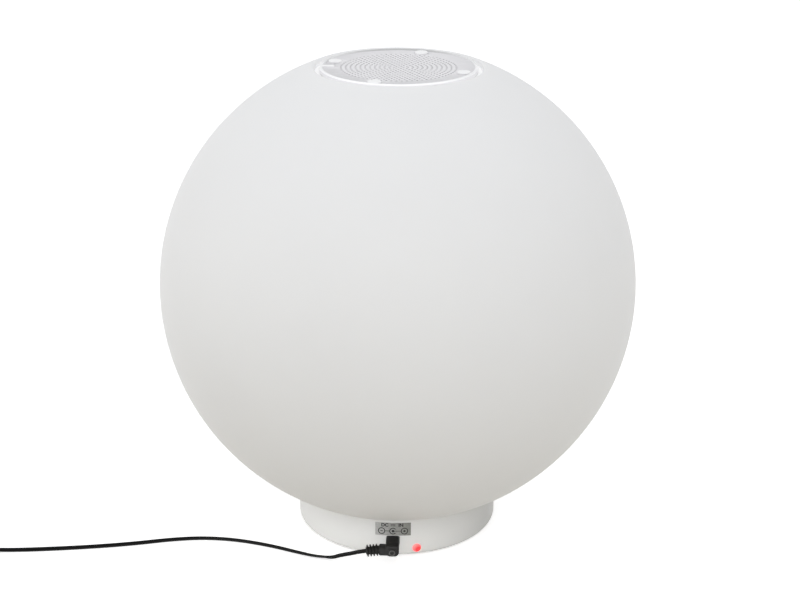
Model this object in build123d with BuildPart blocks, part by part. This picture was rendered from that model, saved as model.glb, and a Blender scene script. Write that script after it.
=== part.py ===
from build123d import *
import math
import os

# A globe light on a short round base, with a loudspeaker under a perforated panel in its crown
# and a charger lead plugged into the base. Millimetres, +Z up, the floor at z = 0, the lead to the
# left (-X) and the charging socket to the front (-Y).

# ------------------------------------------------------------------ driving sizes
# globe
globe_radius = 200.0
globe_wall = 3.5
mouth_radius = 70.0  # the globe's lower opening
opening_radius = 51.2  # the hole in the globe's crown that the speaker hangs through
recess_radius = 68.2  # the rim round the speaker panel
ledge_thick = 4.0
shoulder = 2.5  # rounding of that rim
insert_boss_wall = 1.4
# base
base_radius = 86.0
base_wall = 3.0
base_edge = 4.0  # rounding round the underside
deck_thick = 3.0
cover_radius = 76.0
cover_thick = 2.0
cover_seal_thick = 0.6
step_thick = 1.0
seal_width = 4.5
foot_radius = 6.5
foot_thick = 1.8
foot_proud = 1.0
foot_circle = 64.0
foot_count = 4
# speaker panel
panel_radius = 64.3
panel_thick = 2.4
panel_lip = 1.2
lip_width = 2.4
lip_below_rim = 0.65
hole_radius = 0.95
hole_pitch = 3.9
hole_rings = 12
panel_turn = -18.0  # how far the four fixings are turned from +X, degrees
fixing_circle = 55.5
fixing_count = 4
cap_radius = 5.5
cap_height = 1.4
panel_gasket_thick = 0.8
grip_length = 10.0  # the raised bar beside the rim
grip_width = 3.0
grip_height = 0.9
grip_circle = 57.2
drain_radius = 0.8
drain_circle = 60.9
drain_angle = 167.0
# speaker
speaker_standoff = 4.0
speaker_radius = 42.0
speaker_sheet = 1.2
speaker_screw_circle = 38.6
basket_mouth = 31.2
basket_depth = 17.0
basket_foot = 21.2
cone_radius = 28.9
cone_depth = 12.0
paper = 0.5
cap_rise = 3.2
spider_waves = 4
spider_rise = 1.6
roll_radius = 1.9
coil_former_radius = 7.9
coil_gap = 0.4  # between the voice coil and the iron
magnet_radius = 22.0
magnet_thick = 7.0
iron_radius = 20.0
iron_thick = 3.0
chamber_radius = 50.5
chamber_wall = 2.2
chamber_air = 6.0
lead_radius = 1.5  # the speaker's own lead
terminal_size = (8.0, 2.0, 5.0)
speaker_boss_wall = 1.9
surround_seat = 4.5  # beyond the basket's mouth
gasket_seat = 2.2
basket_lip = 1.4
basket_neck = 2.6
basket_window = (12.0, 16.0, 6.0)
basket_window_corner = 3.0
cone_overlap = 1.3
dust_cap_overlap = 1.6
winding_thick = 0.55
winding_overhang = 1.5
spider_collar = 1.2
spider_lift = 0.4
magnet_clear = 3.0
grommet_wall = 0.7
grommet_flange = 1.3
grommet_cap = 0.8
# light
light_board_radius = 45.0
light_board_thick = 1.6
spreader_radius = 48.0
spreader_thick = 3.0
dome_radius = 51.5
dome_wall = 1.5
dome_skirt = 8.0
dome_rise = 20.0
dome_flange_radius = 56.0
dome_flange_thick = 2.0
chip_size = 5.0
chip_height = 1.6
chip_counts = (12, 6)
chip_circles = (34.0, 17.0)
# globe clamp
clamp_inner = 62.0
clamp_outer = 80.0
clamp_rise = 12.0
clamp_sink = 6.0
globe_gasket_thick = 1.45
globe_gasket_inset = 2.0  # in from the drum's wall
clamp_screw_circle = 65.8
clamp_screw_count = 6
clamp_boss_wall = 2.0
clamp_boss_drop = 8.0
clamp_hole_drop = 7.5
clamp_skin_gap = 0.1
clamp_skirt_gap = 0.4
# battery
cell_radius = 9.2
cell_length = 65.0
cell_front = 24.4  # the nearer cell's axis, from the middle of the base
cell_gap = 0.2
cell_drop = 0.6  # the deck down to the cells
cradle_length = 50.0
strap_width = 12.0
strap_thick = 0.6
strap_gap = 0.1
strap_over_cover = 0.27
# circuit board
board_size = (82.0, 38.0, 1.6)
board_centre = (0.0, -33.0)
board_drop = 3.4
board_posts = ((-24.0, -48.0), (24.0, -48.0), (-36.0, -18.0), (36.0, -18.0))
radio_size = (18.0, 14.0, 2.4)
capacitor_radius = 5.0
capacitor_height = 11.0
board_post_wall = 1.5
board_chips = ((12.0, 2.0, 10.0, 10.0), (-2.0, -8.0, 5.0, 6.0), (26.0, -4.0, 12.0, 6.0))
board_chip_height = 3.0
capacitor_spots = ((2.0, 9.0), (25.0, 8.0))
radio_spot = (-25.0, 1.0)
# button
button_radius = 8.0
button_flange_radius = 10.0
button_flange_thick = 1.0
button_inset = 0.4
button_travel = 2.0
button_stem_radius = 1.8
switch_size = (12.0, 12.0, 6.0)
boot_wall = 0.8
switch_gap = 3.0
stem_in_switch = 1.5
switch_post = 0.6  # share of the switch's width
boot_foot_inset = 0.6
boot_head_inset = 0.4
# socket and light on the base wall
socket_rise = 13.1  # above the base's underside
socket_bore = 2.85
socket_depth = 11.0
socket_nose = 4.0
socket_body = (10.0, 12.0, 10.0)
contact_radius = 1.0
socket_flange_wide = 2.0
socket_flange_thick = 1.5
nose_sunk = 0.5
wall_clear = 0.4  # from the wall to what stands behind it
socket_clear = 0.15
light_clear = 0.1
led_rise = 7.0
led_angle = 13.4  # degrees to the right of the socket
led_radius = 3.2
led_proud = 2.2
led_holder_size = (10.0, 9.0, 8.0)
label_width = 30.0
label_height = 11.9
label_below_rim = 2.1
label_thick = 0.3
# charger plug
barrel_radius = 2.75
barrel_length = 9.5
barrel_wall = 0.5
contact_bore = 1.15
contact_wall = 0.35
stem_width = 11.2
stem_over = 5.95  # stem's top above the socket's axis
stem_under = 4.1
stem_shoulder = 1.4  # its upper corners
stem_heel = 3.6  # its lower corners
stem_round = 1.1
stem_length = 18.3
arm_size = 8.8
arm_corner = 3.0
arm_length = 11.2
arm_back = 13.5  # stem face to the arm's axis
boss_radius = 3.5
boss_proud = 0.8
arm_bevel = 0.8
relief_sunk = 1.5
relief_droop = 7.5  # degrees below level
relief_length = 10.8
relief_core = 3.6
relief_tip = 3.2
rib_count = 4
rib_radius = 5.1
rib_root = 1.9
rib_crest = 0.7
rib_pitch = 2.57
rib_first = 0.8  # arm's end to the first rib
rib_sunk = 0.3
# charger lead
cord_radius = 1.8
turn_gap = 0.55
coil_layers = 4
coil_turns = 8.75
coil_middle = 19.75  # radius at the middle of the turns
coil_centre = (-386.0, -69.5)
coil_side = -90.0  # where the lead comes in, degrees
strap_clear = 0.3
coil_strap_thick = 0.6
coil_strap_width = 4.0
coil_strap_angle = 140.0
coil_strap_corner = 1.6
coil_strap_corner_in = 1.0
tail_length = 34.0
# mains adaptor
adaptor_size = (42.0, 68.0, 28.0)
adaptor_corner = 4.0
adaptor_wall = 2.0
adaptor_edge = 1.8
adaptor_relief_length = 18.0
adaptor_relief_root = 4.2
adaptor_relief_tip = 2.6
adaptor_relief_collar = 1.2
adaptor_relief_collar_thick = 1.5
pin_radius = 2.0
pin_length = 19.0
pin_spacing = 19.0
pin_root_radius = 3.5
pin_root_thick = 2.0
pin_neck_radius = 2.6
pin_neck_proud = 0.8
pin_neck_bevel = 0.4
# fasteners and clearances
screw_radius = 1.5
screw_clear = 0.05
head_radius = 2.9
head_height = 1.3
insert_radius = 2.3
insert_length = 7.0
slot_width = 0.8
long_screw = 12.0
board_screw = 6.0
screw_pass = 0.2  # round a screw that passes through
cover_boss_wall = 2.7
sink_clear = 0.1
seat_gap = 0.05
fit = 0.3

# ------------------------------------------------------------------ places that follow
# the base is as tall as the cells, their strap and the globe's seat need: 33.2 mm at its rim
underside = foot_proud
cover_top = underside + cover_thick
cell_room = cell_drop + 2 * cell_radius + strap_gap + strap_thick + strap_over_cover
deck_under = cover_top + cell_room
deck_top = deck_under + deck_thick
globe_z = deck_top + globe_gasket_thick + math.sqrt(globe_radius**2 - mouth_radius**2)
globe_inner = globe_radius - globe_wall


def ball_low(radius, out):
    """Height of the lower half of a ball round the globe's centre, at a distance from the axis."""
    return globe_z - math.sqrt(radius**2 - out**2)


def ball_high(radius, out):
    """Height of the upper half of such a ball."""
    return globe_z + math.sqrt(radius**2 - out**2)


def ring_spots(radius, count, first=0.0):
    """Points evenly spaced on a circle."""
    step = 360.0 / count
    angles = [math.radians(first + step * i) for i in range(count)]
    return [(radius * math.cos(a), radius * math.sin(a)) for a in angles]


def crown(rim, seat, rise):
    """Three points of a dome's section, from its rim up to the axis."""
    ball = (rim**2 + rise**2) / (2 * rise)
    shoulder_z = seat + rise - ball + math.sqrt(ball**2 - (rim / 2) ** 2)
    return [(rim, seat), (rim / 2, shoulder_z), (0, seat + rise)]


lip_top = ball_high(globe_radius, recess_radius) - lip_below_rim
panel_top = lip_top - panel_lip
panel_under = panel_top - panel_thick
seat_z = panel_under - panel_gasket_thick
ledge_under = seat_z - ledge_thick
fixing_spots = ring_spots(fixing_circle, fixing_count, panel_turn)
speaker_spots = ring_spots(speaker_screw_circle, fixing_count, panel_turn + 45)
speaker_face = panel_under - speaker_standoff
basket_z = speaker_face - basket_depth
plate_z = basket_z - iron_thick
magnet_z = plate_z - magnet_thick
yoke_z = magnet_z - iron_thick
chamber_floor = yoke_z - chamber_air

step_under = cover_top + cover_seal_thick
step_top = step_under + step_thick
wall_inner = base_radius - base_wall
globe_gasket_outer = wall_inner - globe_gasket_inset
clamp_spots = ring_spots(clamp_screw_circle, clamp_screw_count)
cover_boss_radius = screw_radius + cover_boss_wall
cover_screw_circle = cover_radius - seal_width - fit - cover_boss_radius - 1.0
cover_spots = ring_spots(cover_screw_circle, 4, 45)
foot_spots = ring_spots(foot_circle, foot_count)
spreader_top = deck_top + spreader_thick
light_board_top = spreader_top + light_board_thick
dome_screw_circle = (dome_radius + dome_flange_radius) / 2
dome_spots = ring_spots(dome_screw_circle, 4, 20)
board_top = deck_under - board_drop
board_under = board_top - board_size[2]
cell_back = cell_front + 2 * cell_radius + cell_gap
cell_z = deck_under - cell_drop - cell_radius
label_z = ball_low(globe_radius, base_radius) - label_below_rim - label_height / 2
socket_z = underside + socket_rise
led_z = underside + led_rise
# the speaker's lead comes down through the deck beside the dome and ends on the board
drop_circle = (dome_flange_radius + clamp_inner) / 2
drop_angle = math.radians(-50)
drop_spot = (drop_circle * math.cos(drop_angle), drop_circle * math.sin(drop_angle))

layer_pitch = 2 * cord_radius + turn_gap
turns_each = coil_turns / coil_layers
coil_outer = coil_middle + layer_pitch * turns_each / 2
coil_inner = coil_middle - layer_pitch * turns_each / 2
coil_low_z = coil_strap_thick + strap_clear + cord_radius
coil_high_z = coil_low_z + (coil_layers - 1) * layer_pitch


# ------------------------------------------------------------------ shared makers
def centred(inner, outer, low, high):
    """A plain ring or, with no inner radius, a disc about the Z axis."""
    with BuildPart() as ring:
        with BuildSketch(Plane.XY.offset(low)):
            Circle(outer)
            if inner > 0:
                Circle(inner, mode=Mode.SUBTRACT)
        extrude(amount=high - low)
    return ring.part


def turned(points):
    """A solid turned about the Z axis from (radius, height) corners."""
    with BuildPart() as solid:
        with BuildSketch(Plane.XZ):
            with BuildLine():
                Polyline(*points, close=True)
            make_face()
        revolve(axis=Axis.Z)
    return solid.part


def screws(spots, seat, length, way=1):
    """Cross-slotted screws seated at a height, with their heads above it (way 1) or below (-1)."""
    with BuildPart() as group:
        with BuildSketch(Plane.XY.offset(seat)):
            with Locations(*spots):
                Circle(head_radius)
        extrude(amount=way * head_height)
        with BuildSketch(Plane.XY.offset(seat)):
            with Locations(*spots):
                Circle(screw_radius)
        extrude(amount=-way * length)
        with BuildSketch(Plane.XY.offset(seat + way * head_height)):
            with Locations(*spots):
                Rectangle(head_radius * 1.3, slot_width)
                Rectangle(slot_width, head_radius * 1.3)
        extrude(amount=-way * head_height * 0.5, mode=Mode.SUBTRACT)
    return group.part


def bend_radii(points):
    """The largest arc that each corner of a route has room for."""
    radii = []
    for before, here, after in zip(points, points[1:], points[2:]):
        first = Vector(*here) - Vector(*before)
        second = Vector(*after) - Vector(*here)
        half_turn = math.radians(first.get_angle(second)) / 2
        radii.append(0.45 * min(first.length, second.length) / math.tan(half_turn))
    return radii


def routed(points, radius):
    """A round tube along straight runs joined by tangent arcs."""
    with BuildPart() as tube:
        with BuildLine() as route:
            FilletPolyline(*points, radius=bend_radii(points))
        with BuildSketch(Plane(origin=route.line @ 0, z_dir=route.line % 0)):
            Circle(radius)
        sweep()
    length = route.wire().length
    share = tube.part.volume / (math.pi * radius**2 * length)
    print(f"route {length:.1f} mm, volume over section times length {share:.4f},", end=" ")
    print("bends", [round(r, 1) for r in bend_radii(points)])
    return tube.part, length


def save(piece, name):
    """Labels a finished piece and writes its file."""
    piece.label = name
    export_step(piece, f"parts/{name}.step")


os.makedirs("parts", exist_ok=True)

# ------------------------------------------------------------------ globe
with BuildPart() as globe_shell:
    with BuildSketch(Plane.XZ):
        with BuildLine():
            mouth_out = (mouth_radius, ball_low(globe_radius, mouth_radius))
            rim = (recess_radius, ball_high(globe_radius, recess_radius))
            ThreePointArc(mouth_out, (globe_radius, globe_z), rim)
            ledge_out = (math.sqrt(globe_inner**2 - (ledge_under - globe_z) ** 2), ledge_under)
            Polyline(
                rim,
                (recess_radius, seat_z),
                (opening_radius, seat_z),
                (opening_radius, ledge_under),
                ledge_out,
            )
            mouth_in = (mouth_radius, ball_low(globe_inner, mouth_radius))
            ThreePointArc(ledge_out, (globe_inner, globe_z), mouth_in)
            Line(mouth_in, mouth_out)
        make_face()
    revolve(axis=Axis.Z)
    fillet(globe_shell.edges().filter_by(GeomType.CIRCLE).sort_by(Axis.Z)[-1], shoulder)
    with BuildSketch(Plane.XY.offset(ledge_under)):
        with Locations(*fixing_spots):
            Circle(insert_radius + insert_boss_wall)
    extrude(amount=-(insert_length - ledge_thick + 1))
    with BuildSketch(Plane.XY.offset(seat_z)):
        with Locations(*fixing_spots):
            Circle(insert_radius)
    extrude(amount=-insert_length, mode=Mode.SUBTRACT)
save(globe_shell.part, "globe_shell")

with BuildPart() as panel_inserts:
    with BuildSketch(Plane.XY.offset(seat_z)):
        with Locations(*fixing_spots):
            Circle(insert_radius)
            Circle(screw_radius + screw_clear, mode=Mode.SUBTRACT)
    extrude(amount=-insert_length)
save(panel_inserts.part, "panel_inserts")

with BuildPart() as panel_gasket:
    with BuildSketch(Plane.XY.offset(seat_z)):
        Circle(panel_radius)
        Circle(opening_radius, mode=Mode.SUBTRACT)
        with Locations(*fixing_spots):
            Circle(screw_radius + fit, mode=Mode.SUBTRACT)
    extrude(amount=panel_gasket_thick)
save(panel_gasket.part, "panel_gasket")

# ------------------------------------------------------------------ speaker panel
with BuildPart() as speaker_panel:
    with BuildSketch(Plane.XY.offset(panel_under)):
        Circle(panel_radius)
    extrude(amount=panel_thick)
    with BuildSketch(Plane.XY.offset(panel_top)):
        Circle(panel_radius)
        Circle(panel_radius - lip_width, mode=Mode.SUBTRACT)
    extrude(amount=panel_lip)
    fillet(speaker_panel.edges().group_by(Axis.Z)[-1], panel_lip * 0.45)
    with BuildSketch(Plane.XY.offset(panel_under)):
        with Locations(*speaker_spots):
            Circle(screw_radius + speaker_boss_wall)
    extrude(amount=-speaker_standoff)
    with BuildSketch(Plane.XY.offset(speaker_face)):
        with Locations(*speaker_spots):
            Circle(screw_radius + screw_clear)
    extrude(amount=speaker_standoff + panel_thick / 2, mode=Mode.SUBTRACT)
    with BuildSketch(Plane.XY.offset(panel_top)):
        Circle(hole_radius)
        for ring in range(1, hole_rings + 1):
            with PolarLocations(ring * hole_pitch, 6 * ring):
                Circle(hole_radius)
    extrude(amount=-panel_thick, mode=Mode.SUBTRACT)
    with Locations((0, 0, panel_top)):
        with Locations(*fixing_spots):
            CounterBoreHole(
                radius=screw_radius + fit,
                counter_bore_radius=head_radius + fit,
                counter_bore_depth=head_height + sink_clear,
                depth=panel_thick,
            )
    with BuildSketch(Plane.XY.offset(panel_top)):
        with Locations((-grip_circle, 0)):
            RectangleRounded(grip_length, grip_width, grip_width * 0.4)
    extrude(amount=grip_height)
    with BuildSketch(Plane.XY.offset(panel_top)):
        with Locations(*ring_spots(drain_circle, 1, drain_angle)):
            Circle(drain_radius)
    extrude(amount=-panel_thick, mode=Mode.SUBTRACT)
save(speaker_panel.part, "speaker_panel")

save(
    screws(fixing_spots, panel_top - head_height - sink_clear, insert_length + panel_gasket_thick),
    "panel_screws",
)

with BuildPart() as screw_caps:
    with BuildSketch(Plane.XY.offset(panel_top)):
        with Locations(*fixing_spots):
            Circle(cap_radius)
    extrude(amount=cap_height)
    fillet(screw_caps.edges().group_by(Axis.Z)[-1], cap_height * 0.7)
save(screw_caps.part, "screw_caps")

# ------------------------------------------------------------------ speaker
with BuildPart() as speaker_gasket:
    with BuildSketch(Plane.XY.offset(speaker_face + paper)):
        Circle(basket_mouth + surround_seat)
        Circle(basket_mouth + gasket_seat, mode=Mode.SUBTRACT)
        with Locations(*speaker_spots):
            Circle(screw_radius + speaker_boss_wall + fit, mode=Mode.SUBTRACT)
    extrude(amount=speaker_standoff - paper)
save(speaker_gasket.part, "speaker_gasket")

with BuildPart() as speaker_basket:
    with BuildSketch(Plane.XZ):
        with BuildLine():
            Polyline(
                (basket_mouth, speaker_face),
                (speaker_radius, speaker_face),
                (speaker_radius, speaker_face - speaker_sheet),
                (basket_mouth + basket_lip, speaker_face - speaker_sheet),
                (basket_foot, basket_z),
                (coil_former_radius + basket_neck, basket_z),
                (coil_former_radius + basket_neck, basket_z + speaker_sheet),
                (basket_foot - speaker_sheet, basket_z + speaker_sheet),
                (basket_mouth, speaker_face - speaker_sheet),
                close=True,
            )
        make_face()
    revolve(axis=Axis.Z)
    with BuildSketch(Plane.XY.offset(speaker_face)):
        with Locations(*speaker_spots):
            Circle(screw_radius + fit)
    extrude(amount=-speaker_sheet, mode=Mode.SUBTRACT)
    with BuildSketch(Plane.XY.offset(basket_z + 2 * speaker_sheet)):
        with PolarLocations((basket_foot + basket_mouth) / 2, 4, panel_turn):
            RectangleRounded(basket_window[0], basket_window[1], basket_window_corner)
    extrude(amount=basket_window[2], mode=Mode.SUBTRACT)
save(speaker_basket.part, "speaker_basket")

neck_z = speaker_face - cone_depth
cone_neck = paper * 1.2
save(
    turned(
        [
            (coil_former_radius, neck_z),
            (coil_former_radius, neck_z + cone_neck),
            (cone_radius - cone_overlap, speaker_face),
            (cone_radius, speaker_face),
            (cone_radius, speaker_face - paper),
            (coil_former_radius + paper, neck_z),
        ]
    ),
    "speaker_cone",
)

cap_rim = coil_former_radius + dust_cap_overlap
cone_run = cone_radius - cone_overlap - coil_former_radius
cap_seat = neck_z + cone_neck + dust_cap_overlap * cone_depth / cone_run
with BuildPart() as dust_cap:
    with BuildSketch(Plane.XZ):
        with BuildLine():
            outside = crown(cap_rim, cap_seat, cap_rise)
            inside = crown(cap_rim - paper, cap_seat, cap_rise - paper)
            ThreePointArc(*outside)
            Line(outside[2], inside[2])
            ThreePointArc(*reversed(inside))
            Line(inside[0], outside[0])
        make_face()
    revolve(axis=Axis.Z)
save(dust_cap.part, "dust_cap")

save(
    centred(coil_former_radius - winding_thick, coil_former_radius, plate_z - winding_overhang, neck_z),
    "voice_coil",
)

with BuildPart() as speaker_surround:
    with BuildSketch(Plane.XZ):
        roll_out = cone_radius + 2 * roll_radius
        with BuildLine():
            Polyline(
                (cone_radius - cone_overlap, speaker_face + paper),
                (cone_radius - cone_overlap, speaker_face),
                (cone_radius + paper, speaker_face),
            )
            ThreePointArc(
                (cone_radius + paper, speaker_face),
                (cone_radius + roll_radius, speaker_face + roll_radius - paper),
                (roll_out - paper, speaker_face),
            )
            Polyline(
                (roll_out - paper, speaker_face),
                (basket_mouth + surround_seat, speaker_face),
                (basket_mouth + surround_seat, speaker_face + paper),
                (roll_out, speaker_face + paper),
            )
            ThreePointArc(
                (roll_out, speaker_face + paper),
                (cone_radius + roll_radius, speaker_face + roll_radius),
                (cone_radius, speaker_face + paper),
            )
            Line(
                (cone_radius, speaker_face + paper), (cone_radius - cone_overlap, speaker_face + paper)
            )
        make_face()
    revolve(axis=Axis.Z)
    with BuildSketch(Plane.XY.offset(speaker_face)):
        with Locations(*speaker_spots):
            Circle(screw_radius + speaker_boss_wall + fit)
    extrude(amount=paper, mode=Mode.SUBTRACT)
save(speaker_surround.part, "speaker_surround")

spider_z = basket_z + speaker_sheet + paper
spider_out = basket_foot - speaker_sheet
wave_width = (spider_out - spider_collar - coil_former_radius) / (2 * spider_waves)
wave_line = [
    (coil_former_radius + i * wave_width, spider_z + spider_lift + (i % 2) * spider_rise)
    for i in range(2 * spider_waves)
]
wave_line += [(spider_out - spider_collar, spider_z), (spider_out, spider_z)]
save(turned(wave_line + [(r, z - paper) for r, z in reversed(wave_line)]), "speaker_spider")

save(centred(coil_former_radius + coil_gap, iron_radius, plate_z, basket_z), "front_plate")
save(centred(coil_former_radius + magnet_clear, magnet_radius, magnet_z, plate_z), "magnet")
with BuildPart() as yoke:
    with BuildSketch(Plane.XY.offset(yoke_z)):
        Circle(iron_radius)
    extrude(amount=iron_thick)
    with BuildSketch(Plane.XY.offset(magnet_z)):
        Circle(coil_former_radius - winding_thick - coil_gap)
    extrude(amount=magnet_thick + iron_thick)
save(yoke.part, "yoke")
save(
    screws(
        speaker_spots,
        speaker_face - speaker_sheet,
        speaker_sheet + speaker_standoff,
        way=-1,
    ),
    "speaker_screws",
)

with BuildPart() as speaker_terminal:
    with BuildSketch(Plane.XY.offset(speaker_face - speaker_sheet)):
        with Locations((0, basket_mouth + basket_lip + fit + terminal_size[1] / 2)):
            Rectangle(terminal_size[0], terminal_size[1])
    extrude(amount=-terminal_size[2])
terminal_spot = (0, basket_mouth + basket_lip + fit + terminal_size[1] / 2)
save(speaker_terminal.part, "speaker_terminal")

with BuildPart() as back_chamber:
    with BuildSketch(Plane.XY.offset(chamber_floor - chamber_wall)):
        Circle(chamber_radius)
    extrude(amount=panel_under - chamber_floor + chamber_wall)
    with BuildSketch(Plane.XY.offset(chamber_floor)):
        Circle(chamber_radius - chamber_wall)
    extrude(amount=panel_under - chamber_floor, mode=Mode.SUBTRACT)
    fillet(back_chamber.edges().group_by(Axis.Z)[0], chamber_wall * 0.8)
    with BuildSketch(Plane.XY.offset(chamber_floor)):
        with Locations(terminal_spot):
            Circle(lead_radius + grommet_wall)
    extrude(amount=-chamber_wall, mode=Mode.SUBTRACT)
save(back_chamber.part, "back_chamber")


with BuildPart() as lead_grommets:
    for (across, along), seat in ((terminal_spot, chamber_floor), (drop_spot, deck_top)):
        with BuildSketch(Plane.XY.offset(seat)):
            with Locations((across, along)):
                Circle(lead_radius + grommet_wall)
        extrude(amount=-deck_thick)
        with BuildSketch(Plane.XY.offset(seat)):
            with Locations((across, along)):
                Circle(lead_radius + grommet_flange)
        extrude(amount=grommet_cap)
        with BuildSketch(Plane.XY.offset(seat - deck_thick)):
            with Locations((across, along)):
                Circle(lead_radius)
        extrude(amount=deck_thick + grommet_cap, mode=Mode.SUBTRACT)
save(lead_grommets.part, "lead_grommets")

lead_top = speaker_face - speaker_sheet - terminal_size[2]
chamber_exit = chamber_floor - chamber_wall
drop_x, drop_y = drop_spot
lead_points = [
    (0, terminal_spot[1], lead_top),
    (0, terminal_spot[1], chamber_exit - 26),
    (2, terminal_spot[1] - 8, chamber_exit - 70),
    (8, 6, chamber_exit - 125),
    (17, -16, deck_top + 165),
    (24, -30, deck_top + 105),
    (drop_x - 7, drop_y + 5, deck_top + 55),
    (drop_x, drop_y, deck_top + 15),
    (drop_x, drop_y, board_top),
]
save(routed(lead_points, lead_radius)[0], "speaker_lead")

# ------------------------------------------------------------------ base
with BuildPart() as base_housing:
    with BuildSketch(Plane.XZ):
        seat_ball = globe_radius + screw_pass
        with BuildLine():
            rim_out = (base_radius, ball_low(seat_ball, base_radius))
            rim_in = (wall_inner, ball_low(seat_ball, wall_inner))
            middle = (base_radius + wall_inner) / 2
            ThreePointArc(rim_out, (middle, ball_low(seat_ball, middle)), rim_in)
            Polyline(
                rim_in,
                (wall_inner, deck_top),
                (0, deck_top),
                (0, deck_under),
                (wall_inner, deck_under),
                (wall_inner, step_top),
                (cover_radius - seal_width, step_top),
                (cover_radius - seal_width, step_under),
                (cover_radius + fit, step_under),
                (cover_radius + fit, underside),
                (base_radius - base_edge, underside),
            )
            RadiusArc(
                (base_radius - base_edge, underside),
                (base_radius, underside + base_edge),
                -base_edge,
            )
            Line((base_radius, underside + base_edge), rim_out)
        make_face()
    revolve(axis=Axis.Z)
    # posts for the cover, the circuit board, the clamp screws and the switch
    with BuildSketch(Plane.XY.offset(deck_under)):
        with Locations(*cover_spots):
            Circle(cover_boss_radius)
    extrude(amount=-(deck_under - cover_top))
    with BuildSketch(Plane.XY.offset(deck_under)):
        with Locations(*board_posts):
            Circle(screw_radius + board_post_wall)
    extrude(amount=-board_drop)
    with BuildSketch(Plane.XY.offset(deck_under)):
        with Locations(*clamp_spots):
            Circle(screw_radius + clamp_boss_wall)
    extrude(amount=-clamp_boss_drop)
    with BuildSketch(Plane.XY.offset(cover_top)):
        with Locations(*cover_spots):
            Circle(screw_radius + screw_clear)
    extrude(amount=long_screw - cover_thick + head_height, mode=Mode.SUBTRACT)
    with BuildSketch(Plane.XY.offset(board_top)):
        with Locations(*board_posts):
            Circle(screw_radius + screw_clear)
    extrude(amount=board_drop + deck_thick / 2, mode=Mode.SUBTRACT)
    with BuildSketch(Plane.XY.offset(deck_top)):
        with Locations(*clamp_spots):
            Circle(screw_radius + screw_clear)
    extrude(amount=-(deck_thick + clamp_hole_drop), mode=Mode.SUBTRACT)
    with BuildSketch(Plane.XY.offset(deck_top)):
        with Locations(*dome_spots):
            Circle(screw_radius + screw_clear)
    extrude(amount=-deck_thick, mode=Mode.SUBTRACT)
    with BuildSketch(Plane.XY.offset(deck_top)):
        with Locations(drop_spot):
            Circle(lead_radius + grommet_wall)
    extrude(amount=-deck_thick, mode=Mode.SUBTRACT)
    # the socket's hole at the front and the charging light's hole beside it
    with BuildSketch(Plane.XZ.offset(wall_inner - 2)):
        with Locations((0, socket_z)):
            Circle(socket_nose + socket_clear)
    extrude(amount=base_wall + 4, mode=Mode.SUBTRACT)
    led_plane = Plane.XZ.rotated((0, 0, led_angle))
    with BuildSketch(led_plane.offset(wall_inner - 2)):
        with Locations((0, led_z)):
            Circle(led_radius + light_clear)
    extrude(amount=base_wall + 4, mode=Mode.SUBTRACT)
save(base_housing.part, "base_housing")

with BuildPart() as base_cover:
    with BuildSketch(Plane.XY.offset(underside)):
        Circle(cover_radius)
    extrude(amount=cover_thick)
    with BuildSketch(Plane.XY.offset(underside)):
        with Locations(*foot_spots):
            Circle(foot_radius)
    extrude(amount=foot_thick - foot_proud, mode=Mode.SUBTRACT)
    with BuildSketch(Plane.XY.offset(underside)):
        Circle(button_radius + fit)
    extrude(amount=cover_thick, mode=Mode.SUBTRACT)
    with Locations(Plane.XY.offset(underside).rotated((180, 0, 0))):
        with Locations(*cover_spots):
            CounterBoreHole(
                radius=screw_radius + fit,
                counter_bore_radius=head_radius + fit,
                counter_bore_depth=head_height,
                depth=cover_thick,
            )
save(base_cover.part, "base_cover")

save(centred(cover_radius - seal_width, cover_radius, cover_top, step_under), "cover_seal")

with BuildPart() as rubber_feet:
    with BuildSketch():
        with Locations(*foot_spots):
            Circle(foot_radius)
    extrude(amount=foot_thick)
    fillet(rubber_feet.edges().group_by(Axis.Z)[0], foot_proud * 0.4)
save(rubber_feet.part, "rubber_feet")

with BuildPart() as globe_gasket:
    with BuildSketch(Plane.XZ):
        with BuildLine():
            lift = globe_radius + seat_gap
            gasket_in = (mouth_radius, ball_low(lift, mouth_radius))
            gasket_out = (globe_gasket_outer, ball_low(lift, globe_gasket_outer))
            gasket_mid = (mouth_radius + globe_gasket_outer) / 2
            ThreePointArc(gasket_in, (gasket_mid, ball_low(lift, gasket_mid)), gasket_out)
            Polyline(
                gasket_out,
                (globe_gasket_outer, deck_top),
                (mouth_radius, deck_top),
                gasket_in,
            )
        make_face()
    revolve(axis=Axis.Z)
save(globe_gasket.part, "globe_gasket")

clamp_top = deck_top + clamp_rise
with BuildPart() as globe_clamp:
    with BuildSketch(Plane.XZ):
        skin = globe_inner - clamp_skin_gap
        skirt = mouth_radius - clamp_skirt_gap
        with BuildLine():
            ThreePointArc(
                (skirt, ball_low(skin, skirt)),
                ((skirt + clamp_outer) / 2, ball_low(skin, (skirt + clamp_outer) / 2)),
                (clamp_outer, ball_low(skin, clamp_outer)),
            )
            Polyline(
                (clamp_outer, ball_low(skin, clamp_outer)),
                (clamp_outer, clamp_top),
                (clamp_inner, clamp_top),
                (clamp_inner, deck_top + fit),
                (skirt, deck_top + fit),
                (skirt, ball_low(skin, skirt)),
            )
        make_face()
    revolve(axis=Axis.Z)
    with Locations((0, 0, clamp_top)):
        with Locations(*clamp_spots):
            CounterBoreHole(
                radius=screw_radius + fit,
                counter_bore_radius=head_radius + fit,
                counter_bore_depth=clamp_sink,
                depth=clamp_rise,
            )
save(globe_clamp.part, "globe_clamp")
clamp_seat = clamp_top - clamp_sink
with BuildPart() as base_screws:
    add(screws(clamp_spots, clamp_seat, long_screw))
    add(screws(cover_spots, underside + head_height, long_screw, way=-1))
save(base_screws.part, "base_screws")

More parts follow.
